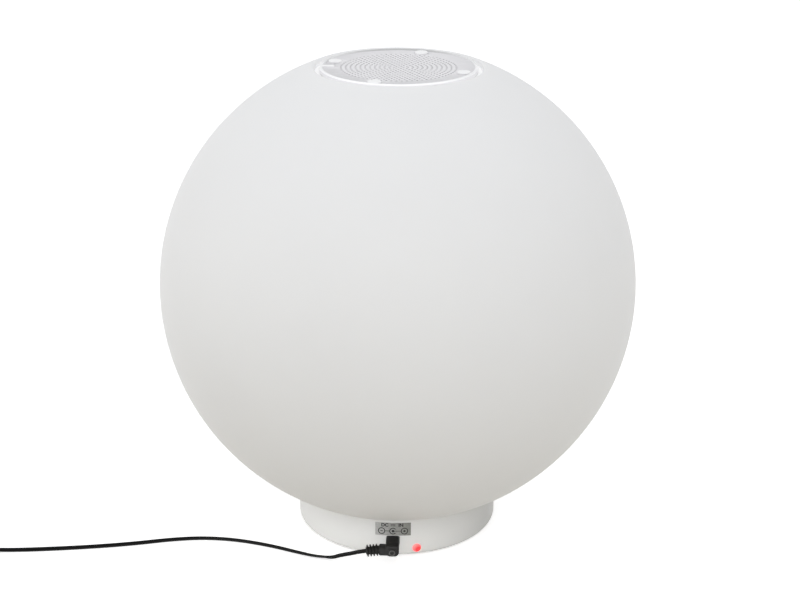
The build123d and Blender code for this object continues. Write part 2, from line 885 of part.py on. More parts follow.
# ------------------------------------------------------------------ light
save(centred(0, spreader_radius, deck_top, spreader_top), "heat_spreader")
save(centred(0, light_board_radius, spreader_top, light_board_top), "light_board")
with BuildPart() as light_chips:
    with BuildSketch(Plane.XY.offset(light_board_top)):
        for count, radius in zip(chip_counts, chip_circles):
            with PolarLocations(radius, count):
                Rectangle(chip_size, chip_size)
    extrude(amount=chip_height)
save(light_chips.part, "light_chips")

with BuildPart() as light_dome:
    with BuildSketch(Plane.XZ):
        with BuildLine():
            skirt_top = deck_top + dome_skirt
            outside = crown(dome_radius, skirt_top, dome_rise)
            inside = crown(dome_radius - dome_wall, skirt_top, dome_rise - dome_wall)
            ThreePointArc(*outside)
            Line(outside[2], inside[2])
            ThreePointArc(*reversed(inside))
            Polyline(
                inside[0],
                (dome_radius - dome_wall, deck_top),
                (dome_flange_radius, deck_top),
                (dome_flange_radius, deck_top + dome_flange_thick),
                (dome_radius, deck_top + dome_flange_thick),
                outside[0],
            )
        make_face()
    revolve(axis=Axis.Z)
    with BuildSketch(Plane.XY.offset(deck_top)):
        with Locations(*dome_spots):
            Circle(screw_radius + screw_pass)
    extrude(amount=dome_flange_thick, mode=Mode.SUBTRACT)
save(light_dome.part, "light_dome")

with BuildPart() as dome_screws:
    with BuildSketch(Plane.XY.offset(deck_top + dome_flange_thick)):
        with Locations(*dome_spots):
            Circle((dome_flange_radius - dome_radius) / 2 - sink_clear)
    extrude(amount=head_height)
    with BuildSketch(Plane.XY.offset(deck_top + dome_flange_thick)):
        with Locations(*dome_spots):
            Circle(screw_radius)
    extrude(amount=-(dome_flange_thick + deck_thick))
save(dome_screws.part, "dome_screws")

# ------------------------------------------------------------------ battery
with BuildPart() as battery_cells:
    with BuildSketch(Plane.YZ.offset(-cell_length / 2)):
        with Locations((cell_front, cell_z), (cell_back, cell_z)):
            Circle(cell_radius)
    extrude(amount=cell_length)
save(battery_cells.part, "battery_cells")

strap_front = cell_front - cell_radius - strap_gap
strap_back = cell_back + cell_radius + strap_gap
strap_low = cell_z - cell_radius - strap_gap
with BuildPart() as battery_cradle:
    with BuildSketch(Plane.YZ.offset(-cradle_length / 2)):
        with Locations(((strap_front + strap_back) / 2, (cell_z + deck_under) / 2)):
            Rectangle(strap_back - strap_front, deck_under - cell_z)
        with Locations((cell_front, cell_z), (cell_back, cell_z)):
            Circle(cell_radius + strap_gap, mode=Mode.SUBTRACT)
    extrude(amount=cradle_length)
save(battery_cradle.part, "battery_cradle")

with BuildPart() as battery_strap:
    with BuildSketch(Plane.YZ.offset(-strap_width / 2)):
        with BuildLine():
            Polyline(
                (strap_front - strap_thick, deck_under),
                (strap_front - strap_thick, strap_low - strap_thick),
                (strap_back + strap_thick, strap_low - strap_thick),
                (strap_back + strap_thick, deck_under),
                (strap_back, deck_under),
                (strap_back, strap_low),
                (strap_front, strap_low),
                (strap_front, deck_under),
                close=True,
            )
        make_face()
    extrude(amount=strap_width)
save(battery_strap.part, "battery_strap")

# ------------------------------------------------------------------ circuit board
with BuildPart() as main_board:
    with BuildSketch(Plane.XY.offset(board_under)):
        with Locations(board_centre):
            RectangleRounded(board_size[0], board_size[1], 2)
        with Locations(*board_posts):
            Circle(screw_radius + screw_pass, mode=Mode.SUBTRACT)
    extrude(amount=board_size[2])
save(main_board.part, "main_board")
save(screws(board_posts, board_under, board_screw, way=-1), "board_screws")

board_x, board_y = board_centre
with BuildPart() as board_components:
    with BuildSketch(Plane.XY.offset(board_under)):
        for across, along, wide, deep in board_chips:
            with Locations((board_x + across, board_y + along)):
                Rectangle(wide, deep)
    extrude(amount=-board_chip_height)
    with BuildSketch(Plane.XY.offset(board_under)):
        with Locations(*[(board_x + across, board_y + along) for across, along in capacitor_spots]):
            Circle(capacitor_radius)
    extrude(amount=-capacitor_height)
save(board_components.part, "board_components")

with BuildPart() as radio_module:
    with BuildSketch(Plane.XY.offset(board_under)):
        with Locations((board_x + radio_spot[0], board_y + radio_spot[1])):
            Rectangle(radio_size[0], radio_size[1])
    extrude(amount=-radio_size[2])
save(radio_module.part, "radio_module")

# ------------------------------------------------------------------ power button
button_low = underside + button_inset
flange_low = cover_top + fit
flange_high = flange_low + button_flange_thick
switch_low = flange_high + button_travel + switch_gap
switch_high = switch_low + switch_size[2]
stem_top = switch_low + stem_in_switch
with BuildPart() as power_button:
    with BuildSketch(Plane.XY.offset(button_low)):
        Circle(button_radius)
    extrude(amount=flange_high - button_low)
    fillet(power_button.edges().group_by(Axis.Z)[0], button_inset)
    with BuildSketch(Plane.XY.offset(flange_low)):
        Circle(button_flange_radius)
    extrude(amount=button_flange_thick)
    with BuildSketch(Plane.XY.offset(flange_high)):
        Circle(button_stem_radius)
    extrude(amount=stem_top - flange_high)
save(power_button.part, "power_button")

with BuildPart() as switch_body:
    with BuildSketch(Plane.XY.offset(switch_low)):
        Rectangle(switch_size[0], switch_size[1])
    extrude(amount=switch_size[2])
    with BuildSketch(Plane.XY.offset(switch_low)):
        Circle(button_stem_radius + fit)
    extrude(amount=button_travel + 2.0, mode=Mode.SUBTRACT)
    with BuildSketch(Plane.XY.offset(switch_high)):
        Rectangle(switch_size[0] * switch_post, switch_size[1] * switch_post)
    extrude(amount=deck_under - switch_high)
save(switch_body.part, "switch_body")

boot_low = button_flange_radius - boot_foot_inset
boot_high = switch_size[0] / 2 - boot_head_inset
save(
    turned(
        [
            (boot_low - 2 * boot_wall, flange_high),
            (boot_low, flange_high),
            (boot_low, flange_high + boot_wall),
            (boot_high, switch_low - boot_wall),
            (boot_high, switch_low),
            (boot_high - 2 * boot_wall, switch_low),
            (boot_high - boot_wall, switch_low - 2 * boot_wall),
            (boot_low - 2 * boot_wall, flange_high + boot_wall),
        ]
    ),
    "button_boot",
)

# ------------------------------------------------------------------ front of the base
nose_front = base_radius - nose_sunk
flange_back = wall_inner - wall_clear - socket_flange_thick
with BuildPart() as charging_socket:
    with BuildSketch(Plane.XZ.offset(flange_back)):
        with Locations((0, socket_z)):
            Circle(socket_nose + socket_flange_wide)
    extrude(amount=socket_flange_thick)
    with BuildSketch(Plane.XZ.offset(flange_back)):
        with Locations((0, socket_z)):
            Circle(socket_nose)
    extrude(amount=nose_front - flange_back)
    with BuildSketch(Plane.XZ.offset(flange_back)):
        with Locations((0, socket_z)):
            Rectangle(socket_body[0], socket_body[2])
    extrude(amount=-socket_body[1])
    with BuildSketch(Plane.XZ.offset(nose_front)):
        with Locations((0, socket_z)):
            Circle(socket_bore)
    extrude(amount=-socket_depth, mode=Mode.SUBTRACT)
save(charging_socket.part, "charging_socket")

with BuildPart() as socket_pin:
    with BuildSketch(Plane.XZ.offset(nose_front - socket_depth)):
        with Locations((0, socket_z)):
            Circle(contact_radius)
    extrude(amount=socket_depth - 1.0)
save(socket_pin.part, "socket_pin")

led_back = wall_inner - wall_clear - led_holder_size[1]
with BuildPart() as led_holder:
    with BuildSketch(led_plane.offset(led_back)):
        with Locations((0, step_top + light_clear + led_holder_size[2] / 2)):
            Rectangle(led_holder_size[0], led_holder_size[2])
        with Locations((0, led_z)):
            Circle(led_radius, mode=Mode.SUBTRACT)
    extrude(amount=led_holder_size[1])
save(led_holder.part, "led_holder")

with BuildPart() as charge_light:
    with BuildSketch(led_plane.offset(led_back)):
        with Locations((0, led_z)):
            Circle(led_radius)
    extrude(amount=base_radius - led_back + led_proud)
    tip = charge_light.edges().sort_by(SortBy.DISTANCE)[-1]
    fillet(tip, led_proud * 0.85)
save(charge_light.part, "charge_light")

label_turn = math.degrees(label_width / base_radius)
with BuildPart() as rating_label:
    with BuildSketch(Plane.XZ.rotated((0, 0, -90 - label_turn / 2))):
        with Locations((base_radius + label_thick / 2, label_z)):
            Rectangle(label_thick, label_height)
    revolve(axis=Axis.Z, revolution_arc=label_turn)
save(rating_label.part, "rating_label")

# ------------------------------------------------------------------ charger plug
stem_back = base_radius + fit
arm_y = stem_back + arm_back
stem_front = stem_back + stem_length
relief_way = Vector(-1, 0, 0).rotate(Axis.Y, -relief_droop)
relief_start = Vector(-arm_length, -arm_y, socket_z)
relief_end = relief_start + relief_way * relief_length
with BuildPart() as plug_body:
    with BuildSketch(Plane.XZ.offset(stem_back)) as stem_outline:
        with Locations((0, socket_z + (stem_over - stem_under) / 2)):
            Rectangle(stem_width, stem_over + stem_under)
        fillet(stem_outline.vertices().group_by(Axis.Y)[-1], stem_shoulder)
        fillet(stem_outline.vertices().group_by(Axis.Y)[0], stem_heel)
    extrude(amount=stem_length)
    fillet(plug_body.edges().group_by(Axis.Y)[0], stem_round)
    with BuildSketch(Plane.YZ):
        with Locations((-arm_y, socket_z)):
            RectangleRounded(arm_size, arm_size, arm_corner)
    extrude(amount=-arm_length)
    chamfer(plug_body.edges().group_by(Axis.X)[0], arm_bevel)
    with BuildSketch(Plane.XZ.offset(stem_front)):
        with Locations((0, socket_z)):
            Circle(boss_radius)
    extrude(amount=boss_proud)
    fillet(plug_body.edges().sort_by(Axis.Y)[0], boss_proud * 0.5)
    relief_plane = Plane(origin=relief_start, x_dir=(0, 1, 0), z_dir=relief_way)
    with BuildSketch(relief_plane.offset(-relief_sunk)):
        Circle(relief_core)
    with BuildSketch(relief_plane.offset(relief_length)):
        Circle(relief_tip)
    loft()
    with BuildSketch(Plane(origin=relief_start, x_dir=relief_way, z_dir=(0, 1, 0))):
        for rib in range(rib_count):
            root_start = rib_first + rib * rib_pitch
            crest_start = root_start + (rib_root - rib_crest) / 2
            with BuildLine():
                Polyline(
                    (root_start, 0),
                    (root_start, relief_tip - rib_sunk),
                    (crest_start, rib_radius),
                    (crest_start + rib_crest, rib_radius),
                    (root_start + rib_root, relief_tip - rib_sunk),
                    (root_start + rib_root, 0),
                    close=True,
                )
            make_face()
    revolve(axis=Axis(relief_start, relief_way))
save(plug_body.part, "plug_body")


def barrel_tube(outer, inner, length):
    """One sleeve of the plug's barrel, from the stem's face towards the socket."""
    with BuildPart() as sleeve:
        with BuildSketch(Plane.XZ.offset(stem_back)):
            with Locations((0, socket_z)):
                Circle(outer)
                Circle(inner, mode=Mode.SUBTRACT)
        extrude(amount=-length)
    return sleeve.part


contact_outer = contact_bore + contact_wall
save(barrel_tube(barrel_radius, barrel_radius - barrel_wall, barrel_length), "plug_barrel")
save(barrel_tube(barrel_radius - barrel_wall, contact_outer, barrel_length), "plug_insulator")
save(barrel_tube(contact_outer, contact_bore, barrel_length - 0.5), "plug_contact")

# ------------------------------------------------------------------ charger lead
coil_x, coil_y = coil_centre
lead_in = (coil_x, coil_y - coil_outer, coil_low_z)
straight = 2 * cord_radius
relief_end = tuple(relief_end)
cord_points = [
    relief_end,
    tuple(Vector(*relief_end) + relief_way * 7.0),
    (-35.6, -97.3, 8.6),
    (-44.2, -94.8, 4.6),
    (-54.0, -92.6, 2.1),
    (-66.0, -90.0, cord_radius),
    (-80.6, -84.2, cord_radius),
    (-98.0, -76.3, cord_radius),
    (-118.0, -69.3, cord_radius),
    (-141.0, -63.9, cord_radius),
    (-166.0, -62.6, cord_radius),
    (-192.0, -67.0, cord_radius),
    (-219.0, -74.9, cord_radius),
    (-250.0, -81.8, cord_radius),
    (-286.0, -87.7, cord_radius),
    (-322.0, -92.2, cord_radius),
    (-352.0, lead_in[1], coil_low_z),
    (lead_in[0] + straight, lead_in[1], coil_low_z),
]
cord_lead, cord_lead_length = routed(cord_points, cord_radius)
save(cord_lead, "cord_lead")


def eased(distance, half=0.25):
    """A V with its point rounded off, for where the spiral turns back."""
    if abs(distance) >= half:
        return abs(distance)
    return distance**2 / (2 * half) + half / 2


def coil_point(turns):
    """The coil's centreline after so many turns: in and out again, a layer up each time."""
    reversal = round(turns / turns_each)
    off = turns - reversal * turns_each
    inward = reversal % 2 == 1
    if 0 < reversal < coil_layers:
        away = layer_pitch * eased(off)
        rise = min(max(off / 0.5 + 0.5, 0.0), 1.0)
        level = reversal - 1 + rise * rise * (3 - 2 * rise)
    else:
        away = layer_pitch * abs(off)
        level = 0 if reversal == 0 else coil_layers - 1
    radius = coil_inner + away if inward else coil_outer - away
    angle = math.radians(coil_side - 360 * turns)
    return Vector(
        coil_x + radius * math.cos(angle),
        coil_y + radius * math.sin(angle),
        coil_low_z + level * layer_pitch,
    )


def coil_way(turns):
    """The direction the coil runs in at that place."""
    step = 0.0005
    return (coil_point(turns + step) - coil_point(turns - step)).normalized()


def biarc(start, start_way, end, end_way):
    """Two arcs that leave the start and reach the end in the given directions."""
    span = end - start
    both = start_way + end_way
    turn = 2 * (1 - start_way.dot(end_way))
    along = span.dot(both)
    reach = (math.sqrt(along**2 + turn * span.dot(span)) - along) / turn
    first = start + start_way * reach
    last = end - end_way * reach
    middle = (first + last) * 0.5
    TangentArc(start, middle, tangent=start_way)
    TangentArc(middle, end, tangent=last - first)


quarters = round(coil_turns * 4)
spots = [(coil_point(i / 4), coil_way(i / 4)) for i in range(quarters + 1)]
spots[0] = (Vector(*lead_in), Vector(-1, 0, 0))
spots[-1] = (spots[-1][0], Vector(0, -1, 0))
with BuildPart() as cord_coil:
    with BuildLine() as winding:
        Line(spots[0][0] - spots[0][1] * straight, spots[0][0])
        for (start, start_way), (end, end_way) in zip(spots, spots[1:]):
            biarc(start, start_way, end, end_way)
        Line(spots[-1][0], spots[-1][0] + spots[-1][1] * straight)
    with BuildSketch(Plane(origin=winding.line @ 0, z_dir=winding.line % 0)):
        Circle(cord_radius)
    sweep()
save(cord_coil.part, "cord_coil")
cord_coil_length = winding.wire().length
share = cord_coil.part.volume / (math.pi * cord_radius**2 * cord_coil_length)
print(f"coil {cord_coil_length:.1f} mm, volume over section times length {share:.4f}")

samples_per_turn = 60
samples = [
    coil_point(i / samples_per_turn) for i in range(int(coil_turns * samples_per_turn) + 1)
]
nearest = min(
    (samples[i] - samples[j]).length
    for i in range(len(samples))
    for j in range(i + samples_per_turn // 2, len(samples))
)
print(f"least gap between the coil's turns {nearest - 2 * cord_radius:.2f} mm")

tail_start = spots[-1][0] + spots[-1][1] * straight
tail_x = tail_start.X
tail_end_y = tail_start.Y - tail_length
with BuildPart() as cord_tail:
    with BuildSketch(Plane.XZ.offset(-tail_start.Y)):
        with Locations((tail_x, coil_high_z)):
            Circle(cord_radius)
    extrude(amount=tail_length)
save(cord_tail.part, "cord_tail")
total = cord_lead_length + cord_coil_length + tail_length
print(f"whole cord {total:.1f} mm")

# a band that ties the coil, standing round the bundle across its turns
band_angle = math.radians(coil_strap_angle)
band_plane = Plane(
    origin=(coil_x, coil_y, 0),
    x_dir=(math.cos(band_angle), math.sin(band_angle), 0),
    z_dir=(math.sin(band_angle), -math.cos(band_angle), 0),
)
band_in = coil_inner - cord_radius - strap_clear
band_out = coil_outer + cord_radius + strap_clear
band_top = coil_high_z + cord_radius + strap_clear
with BuildPart() as coil_strap:
    with BuildSketch(band_plane.offset(-coil_strap_width / 2)):
        with Locations(((band_in + band_out) / 2, (band_top + coil_strap_thick) / 2)):
            RectangleRounded(
                band_out - band_in + 2 * coil_strap_thick,
                band_top + coil_strap_thick,
                coil_strap_corner,
            )
            RectangleRounded(
                band_out - band_in,
                band_top - coil_strap_thick,
                coil_strap_corner_in,
                mode=Mode.SUBTRACT,
            )
    extrude(amount=coil_strap_width)
save(coil_strap.part, "coil_strap")

# ------------------------------------------------------------------ mains adaptor
relief_y = tail_end_y
case_y = relief_y - adaptor_relief_length - adaptor_size[1] / 2
half_height = adaptor_size[2] / 2


def adaptor_half(low, high, outer_edges):
    """One half of the adaptor's case, open towards the seam between the two."""
    with BuildPart() as half:
        with BuildSketch(Plane.XY.offset(low)):
            with Locations((tail_x, case_y)):
                RectangleRounded(adaptor_size[0], adaptor_size[1], adaptor_corner)
        extrude(amount=high - low)
        fillet(half.edges().group_by(Axis.Z)[outer_edges], adaptor_edge)
        inner_low = low + adaptor_wall if outer_edges == 0 else low
        with BuildSketch(Plane.XY.offset(inner_low)):
            with Locations((tail_x, case_y)):
                RectangleRounded(
                    adaptor_size[0] - 2 * adaptor_wall,
                    adaptor_size[1] - 2 * adaptor_wall,
                    adaptor_corner - adaptor_wall,
                )
        extrude(amount=high - low - adaptor_wall, mode=Mode.SUBTRACT)
        with BuildSketch(Plane.XZ.offset(-case_y - adaptor_size[1] / 2 - 1)):
            with Locations((tail_x, coil_high_z)):
                Circle(adaptor_relief_root)
        extrude(amount=adaptor_wall + 2, mode=Mode.SUBTRACT)
        if outer_edges == -1:
            with BuildSketch(Plane.XY.offset(low)):
                with Locations(*pin_spots):
                    Circle(pin_neck_radius + screw_clear)
            extrude(amount=high - low + 1, mode=Mode.SUBTRACT)
    return half.part


pin_y = case_y - adaptor_size[1] * 0.2
pin_spots = [(tail_x - pin_spacing / 2, pin_y), (tail_x + pin_spacing / 2, pin_y)]
save(adaptor_half(0, half_height, 0), "adaptor_base")
save(adaptor_half(half_height, adaptor_size[2], -1), "adaptor_lid")

with BuildPart() as mains_pins:
    with BuildSketch(Plane.XY.offset(adaptor_size[2] - adaptor_wall - pin_root_thick)):
        with Locations(*pin_spots):
            Circle(pin_root_radius)
    extrude(amount=pin_root_thick)
    with BuildSketch(Plane.XY.offset(adaptor_size[2] - adaptor_wall)):
        with Locations(*pin_spots):
            Circle(pin_neck_radius)
    extrude(amount=adaptor_wall + pin_neck_proud)
    chamfer(mains_pins.edges().group_by(Axis.Z)[-1], pin_neck_bevel)
    with BuildSketch(Plane.XY.offset(adaptor_size[2])):
        with Locations(*pin_spots):
            Circle(pin_radius)
    extrude(amount=pin_length)
    fillet(mains_pins.edges().group_by(Axis.Z)[-1], pin_radius * 0.6)
save(mains_pins.part, "mains_pins")

with BuildPart() as adaptor_relief:
    with BuildSketch(Plane.XZ.offset(-relief_y)):
        with Locations((tail_x, coil_high_z)):
            Circle(adaptor_relief_tip)
    with BuildSketch(Plane.XZ.offset(-relief_y + adaptor_relief_length)):
        with Locations((tail_x, coil_high_z)):
            Circle(adaptor_relief_root)
    loft()
    with BuildSketch(Plane.XZ.offset(-relief_y + adaptor_relief_length)):
        with Locations((tail_x, coil_high_z)):
            Circle(adaptor_relief_root)
    extrude(amount=adaptor_wall)
    with BuildSketch(Plane.XZ.offset(-relief_y + adaptor_relief_length + adaptor_wall)):
        with Locations((tail_x, coil_high_z)):
            Circle(adaptor_relief_root + adaptor_relief_collar)
    extrude(amount=adaptor_relief_collar_thick)
save(adaptor_relief.part, "adaptor_relief")
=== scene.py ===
import math

import bmesh
import bpy
from mathutils import Euler, Matrix, Vector


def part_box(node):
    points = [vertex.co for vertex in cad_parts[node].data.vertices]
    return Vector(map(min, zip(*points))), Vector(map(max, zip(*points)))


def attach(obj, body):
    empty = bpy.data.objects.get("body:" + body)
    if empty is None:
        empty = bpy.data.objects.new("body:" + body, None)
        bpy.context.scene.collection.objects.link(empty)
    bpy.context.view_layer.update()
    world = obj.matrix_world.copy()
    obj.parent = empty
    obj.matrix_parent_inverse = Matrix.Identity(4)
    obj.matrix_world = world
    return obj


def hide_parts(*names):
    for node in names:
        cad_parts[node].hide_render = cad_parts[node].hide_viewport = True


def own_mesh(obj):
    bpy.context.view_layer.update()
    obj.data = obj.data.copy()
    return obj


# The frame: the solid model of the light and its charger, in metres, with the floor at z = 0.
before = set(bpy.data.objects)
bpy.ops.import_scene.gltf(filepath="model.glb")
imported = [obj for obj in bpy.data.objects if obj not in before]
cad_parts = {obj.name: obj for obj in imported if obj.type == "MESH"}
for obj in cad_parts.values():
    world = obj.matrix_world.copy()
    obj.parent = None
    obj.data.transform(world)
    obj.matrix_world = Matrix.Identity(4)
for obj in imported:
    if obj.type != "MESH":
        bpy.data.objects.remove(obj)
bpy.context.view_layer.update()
scene = bpy.context.scene
scene.view_settings.view_transform = "Standard"

# The camera stands a step in front of the light and a little to its right, looking down on it.
# The sight line passes just above the globe's middle, and the camera leans a quarter degree.
globe_low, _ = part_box("globe_shell")
globe_radius = 0.2
mouth_radius = 0.07
globe_centre = Vector((0, 0, globe_low.z + math.sqrt(globe_radius**2 - mouth_radius**2)))
camera_round = math.radians(2.06)
camera_above = math.radians(20.21)
camera_away = 1.4697
sight_above = math.radians(0.56)
sight_right = math.radians(0.076)
lean = math.radians(0.25)
camera = bpy.data.objects.new("camera", bpy.data.cameras.new("camera"))
scene.collection.objects.link(camera)
camera.data.sensor_width = 36
camera.data.lens = 78.03
sight = Euler((math.pi / 2 - camera_above - sight_above, 0, camera_round)).to_matrix()
sight @= Euler((0, -sight_right, lean)).to_matrix()
stand = globe_centre + camera_away * Vector(
    (
        math.sin(camera_round) * math.cos(camera_above),
        -math.cos(camera_round) * math.cos(camera_above),
        math.sin(camera_above),
    )
)
camera.matrix_world = Matrix.Translation(stand) @ sight.to_4x4()
scene.camera = camera


# The charger's lead: two fine wires side by side in one black vinyl jacket, a flat figure of
# eight that has taken a twist from being wound. It leaves the plug's strain relief, drops to the
# floor, runs off to the left and is put away there as a tied coil in front of the adaptor.
def started(name):
    """A new material, with its nodes, their links and its shader."""
    finish = bpy.data.materials.new(name)
    finish.use_nodes = True
    nodes = finish.node_tree.nodes
    return finish, nodes, finish.node_tree.links, nodes["Principled BSDF"]


def added(nodes, kind, values=None, operation=None):
    """A new node of a material, with the values of its sockets. Every mix is one of colours."""
    node = nodes.new("ShaderNode" + kind)
    if kind == "Mix":
        node.data_type = "RGBA"
    if operation:
        node.operation = operation
    for socket, value in (values or {}).items():
        node.inputs[socket].default_value = value
    return node


def vinyl(name, colour, roughness, grain, relief, specular=0.5):
    """Soft, faintly uneven moulded vinyl or rubber with a fine skin."""
    finish, nodes, links, shader = started(name)
    shader.inputs["Specular IOR Level"].default_value = specular
    place = added(nodes, "TexCoord")
    skin = added(nodes, "TexNoise", {"Scale": 1 / grain, "Detail": 3})
    clouds = added(nodes, "TexNoise", {"Scale": 0.04 / grain})
    tone = added(
        nodes,
        "Mix",
        {
            "A": (*[c * 0.86 for c in colour], 1),
            "B": (*[c * 1.14 for c in colour], 1),
        },
    )
    rough = added(nodes, "MapRange", {"To Min": roughness - 0.06, "To Max": roughness + 0.06})
    bump = added(nodes, "Bump", {"Distance": relief, "Strength": 0.6})
    links.new(place.outputs["Object"], skin.inputs["Vector"])
    links.new(place.outputs["Object"], clouds.inputs["Vector"])
    links.new(clouds.outputs["Fac"], tone.inputs["Factor"])
    links.new(clouds.outputs["Fac"], rough.inputs["Value"])
    links.new(tone.outputs["Result"], shader.inputs["Base Color"])
    links.new(rough.outputs["Result"], shader.inputs["Roughness"])
    links.new(skin.outputs["Fac"], bump.inputs["Height"])
    links.new(bump.outputs["Normal"], shader.inputs["Normal"])
    return finish


def finish_node(material, *names):
    """Gives solids that are shown as they are their material."""
    for name in names:
        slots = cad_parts[name].data.materials
        slots.clear()
        slots.append(material)


def placed(name, mesh, material):
    """A new piece in the scene, with its place in its mesh."""
    piece = bpy.data.objects.new(name, mesh)
    scene.collection.objects.link(piece)
    mesh.materials.clear()
    mesh.materials.append(material)
    return piece


jacket_width = 0.0036
jacket_thick = 0.0022
relief_tip = Vector((-0.02191, -0.0998, 0.01269))
relief_droop = math.radians(7.5)
relief_way = Vector((-math.cos(relief_droop), 0, -math.sin(relief_droop)))
coil_x, coil_y = -0.386, -0.0695
coil_turns = 8.75
coil_layers = 4
coil_middle = 0.01975
layer_pitch = 0.00415
coil_low = 0.0027
points_a_turn = 16
half_crossing = 0.25  # the part of a turn that the lead takes to climb half a layer
turns_a_layer = coil_turns / coil_layers
coil_outer = coil_middle + layer_pitch * turns_a_layer / 2
coil_inner = coil_middle - layer_pitch * turns_a_layer / 2
# how much closer to the middle the curve runs than its points
corner_cut = 0.75 + 0.25 * math.cos(2 * math.pi / points_a_turn)


def winding(turns):
    """A place along the coil: in and out again in a flat spiral, one layer higher each time."""
    reversal = round(turns / turns_a_layer)
    off = turns - reversal * turns_a_layer
    away, level = abs(off), 0 if reversal == 0 else coil_layers - 1
    if 0 < reversal < coil_layers:
        if abs(off) < half_crossing:
            away = off * off / (2 * half_crossing) + half_crossing / 2
        rise = min(max(off / (2 * half_crossing) + 0.5, 0), 1)
        level = reversal - 1 + rise * rise * (3 - 2 * rise)
    away *= layer_pitch
    radius = (coil_inner + away if reversal % 2 else coil_outer - away) / corner_cut
    angle = math.radians(-90 - 360 * turns)
    return (
        coil_x + radius * math.cos(angle),
        coil_y + radius * math.sin(angle),
        coil_low + level * layer_pitch,
    )


entry_y = coil_y - coil_outer


def laid(x, y, turn):
    """A place on the floor, high enough for the jacket's edge at that turn."""
    lean_up = (jacket_width - jacket_thick) / 2 * abs(math.sin(math.radians(turn)))
    return ((x, y, jacket_thick / 2 + lean_up), turn)


# each place with the jacket's turn there, in degrees: 0 lies flat, 90 stands on its edge
lead_places = [
    (relief_tip, 90),
    (relief_tip + relief_way * 0.007 - Vector((0, 0, 0.0003)), 90),
    ((-0.0356, -0.0973, 0.0083), 90),
    ((-0.0442, -0.0948, 0.0052), 84),
    ((-0.0505, -0.0942, 0.0026), 64),
    ((-0.0575, -0.0920, 0.0018), 26),
    laid(-0.066, -0.09, 22),
    laid(-0.0806, -0.0842, 9),
    laid(-0.098, -0.0763, -2),
    laid(-0.118, -0.0693, -7),
    laid(-0.141, -0.0639, -10),
    laid(-0.166, -0.0626, -15),
    laid(-0.192, -0.067, -23),
    laid(-0.219, -0.0749, -32),
    laid(-0.25, -0.0818, -42),
    laid(-0.286, -0.0877, -52),
    laid(-0.322, -0.0922, -78),
    ((-0.352, entry_y, coil_low), -90),
    ((coil_x + 0.0072, entry_y, coil_low), -90),
]
coil_steps = round(coil_turns * points_a_turn)
lead_places += [(winding(i / points_a_turn), -90) for i in range(coil_steps + 1)]
coil_exit = Vector((coil_x + coil_outer, coil_y, coil_low + (coil_layers - 1) * layer_pitch))
lead_places += [(coil_exit - Vector((0, along, 0)), -90) for along in (0.009, 0.022, 0.0376)]
route = bpy.data.curves.new("lead_route", "CURVE")
route.dimensions = "3D"
route.twist_mode = "Z_UP"
route.resolution_u = 7
line = route.splines.new("NURBS")
line.points.add(len(lead_places) - 1)
for point, (place, turn) in zip(line.points, lead_places):
    point.co = (*place, 1)
    point.tilt = math.radians(turn)
line.order_u = 3
line.use_endpoint_u = True
route_line = bpy.data.objects.new("lead_route", route)
scene.collection.objects.link(route_line)
bare_route = bpy.data.meshes.new_from_object(route_line)

# the jacket's section: two round wires joined by a thin web
section = bpy.data.curves.new("jacket_section", "CURVE")
outline = section.splines.new("POLY")
wire_centre = (jacket_width - jacket_thick) / 2
wire_round = math.radians(130)
wire_steps = 8
corners = []
for side in (1, -1):
    for step in range(wire_steps + 1):
        angle = -wire_round + 2 * wire_round * step / wire_steps
        corners.append(
            (
                side * (wire_centre + jacket_thick / 2 * math.cos(angle)),
                side * jacket_thick / 2 * math.sin(angle),
            )
        )
outline.points.add(len(corners) - 1)
for point, (across, up) in zip(outline.points, corners):
    point.co = (across, up, 0, 1)
outline.use_cyclic_u = True
section_shape = bpy.data.objects.new("jacket_section", section)
scene.collection.objects.link(section_shape)
route.bevel_mode = "OBJECT"
route.bevel_object = section_shape
route.use_fill_caps = True
drawn = bpy.context.evaluated_depsgraph_get()
jacket = bpy.data.meshes.new_from_object(route_line.evaluated_get(drawn))
jacket.shade_smooth()
lead_black = vinyl("lead_black", (0.002, 0.002, 0.0018), 0.5, 0.0009, 0.00002, 0.17)
lead = placed("charger_lead", jacket, lead_black)
bpy.data.objects.remove(route_line)
bpy.data.objects.remove(section_shape)
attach(lead, "charger")
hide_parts("cord_lead", "cord_coil", "cord_tail")


# The globe: milky polyethylene, turned in a heated mould, so its skin is one piece with a faintly
# uneven, satin surface. Its rim rolls over into the seat of the speaker panel, whose wall is given
# a faint emission: painted light that lightens the seat.
def lathe(name, outline, steps, smooth_to=35):
    """A closed ring-shaped solid turned about the upright axis from its section's outline."""
    form = bmesh.new()
    rings = []
    for step in range(steps):
        angle = 2 * math.pi * step / steps
        rings.append(
            [form.verts.new((r * math.cos(angle), r * math.sin(angle), z)) for r, z in outline]
        )
    for here, beside in zip(rings, rings[1:] + rings[:1]):
        for i in range(len(outline)):
            j = (i + 1) % len(outline)
            form.faces.new((here[i], beside[i], beside[j], here[j]))
    bmesh.ops.recalc_face_normals(form, faces=form.faces)
    mesh = bpy.data.meshes.new(name)
    form.to_mesh(mesh)
    form.free()
    mesh.shade_smooth()
    mesh.set_sharp_from_angle(angle=math.radians(smooth_to))
    return mesh


def from_axis(nodes, links, place):
    """How far each point lies from the light's upright axis."""
    level = added(nodes, "VectorMath", {1: (1, 1, 0)}, operation="MULTIPLY")
    away = added(nodes, "VectorMath", operation="LENGTH")
    links.new(place.outputs["Object"], level.inputs[0])
    links.new(level.outputs["Vector"], away.inputs[0])
    return away.outputs["Value"]


def arc(centre, radius, start, end, steps):
    """Points on an arc of a section, its angles in radians from the outward level."""
    angles = [start + (end - start) * i / steps for i in range(steps + 1)]
    return [(centre[0] + radius * math.cos(a), centre[1] + radius * math.sin(a)) for a in angles]


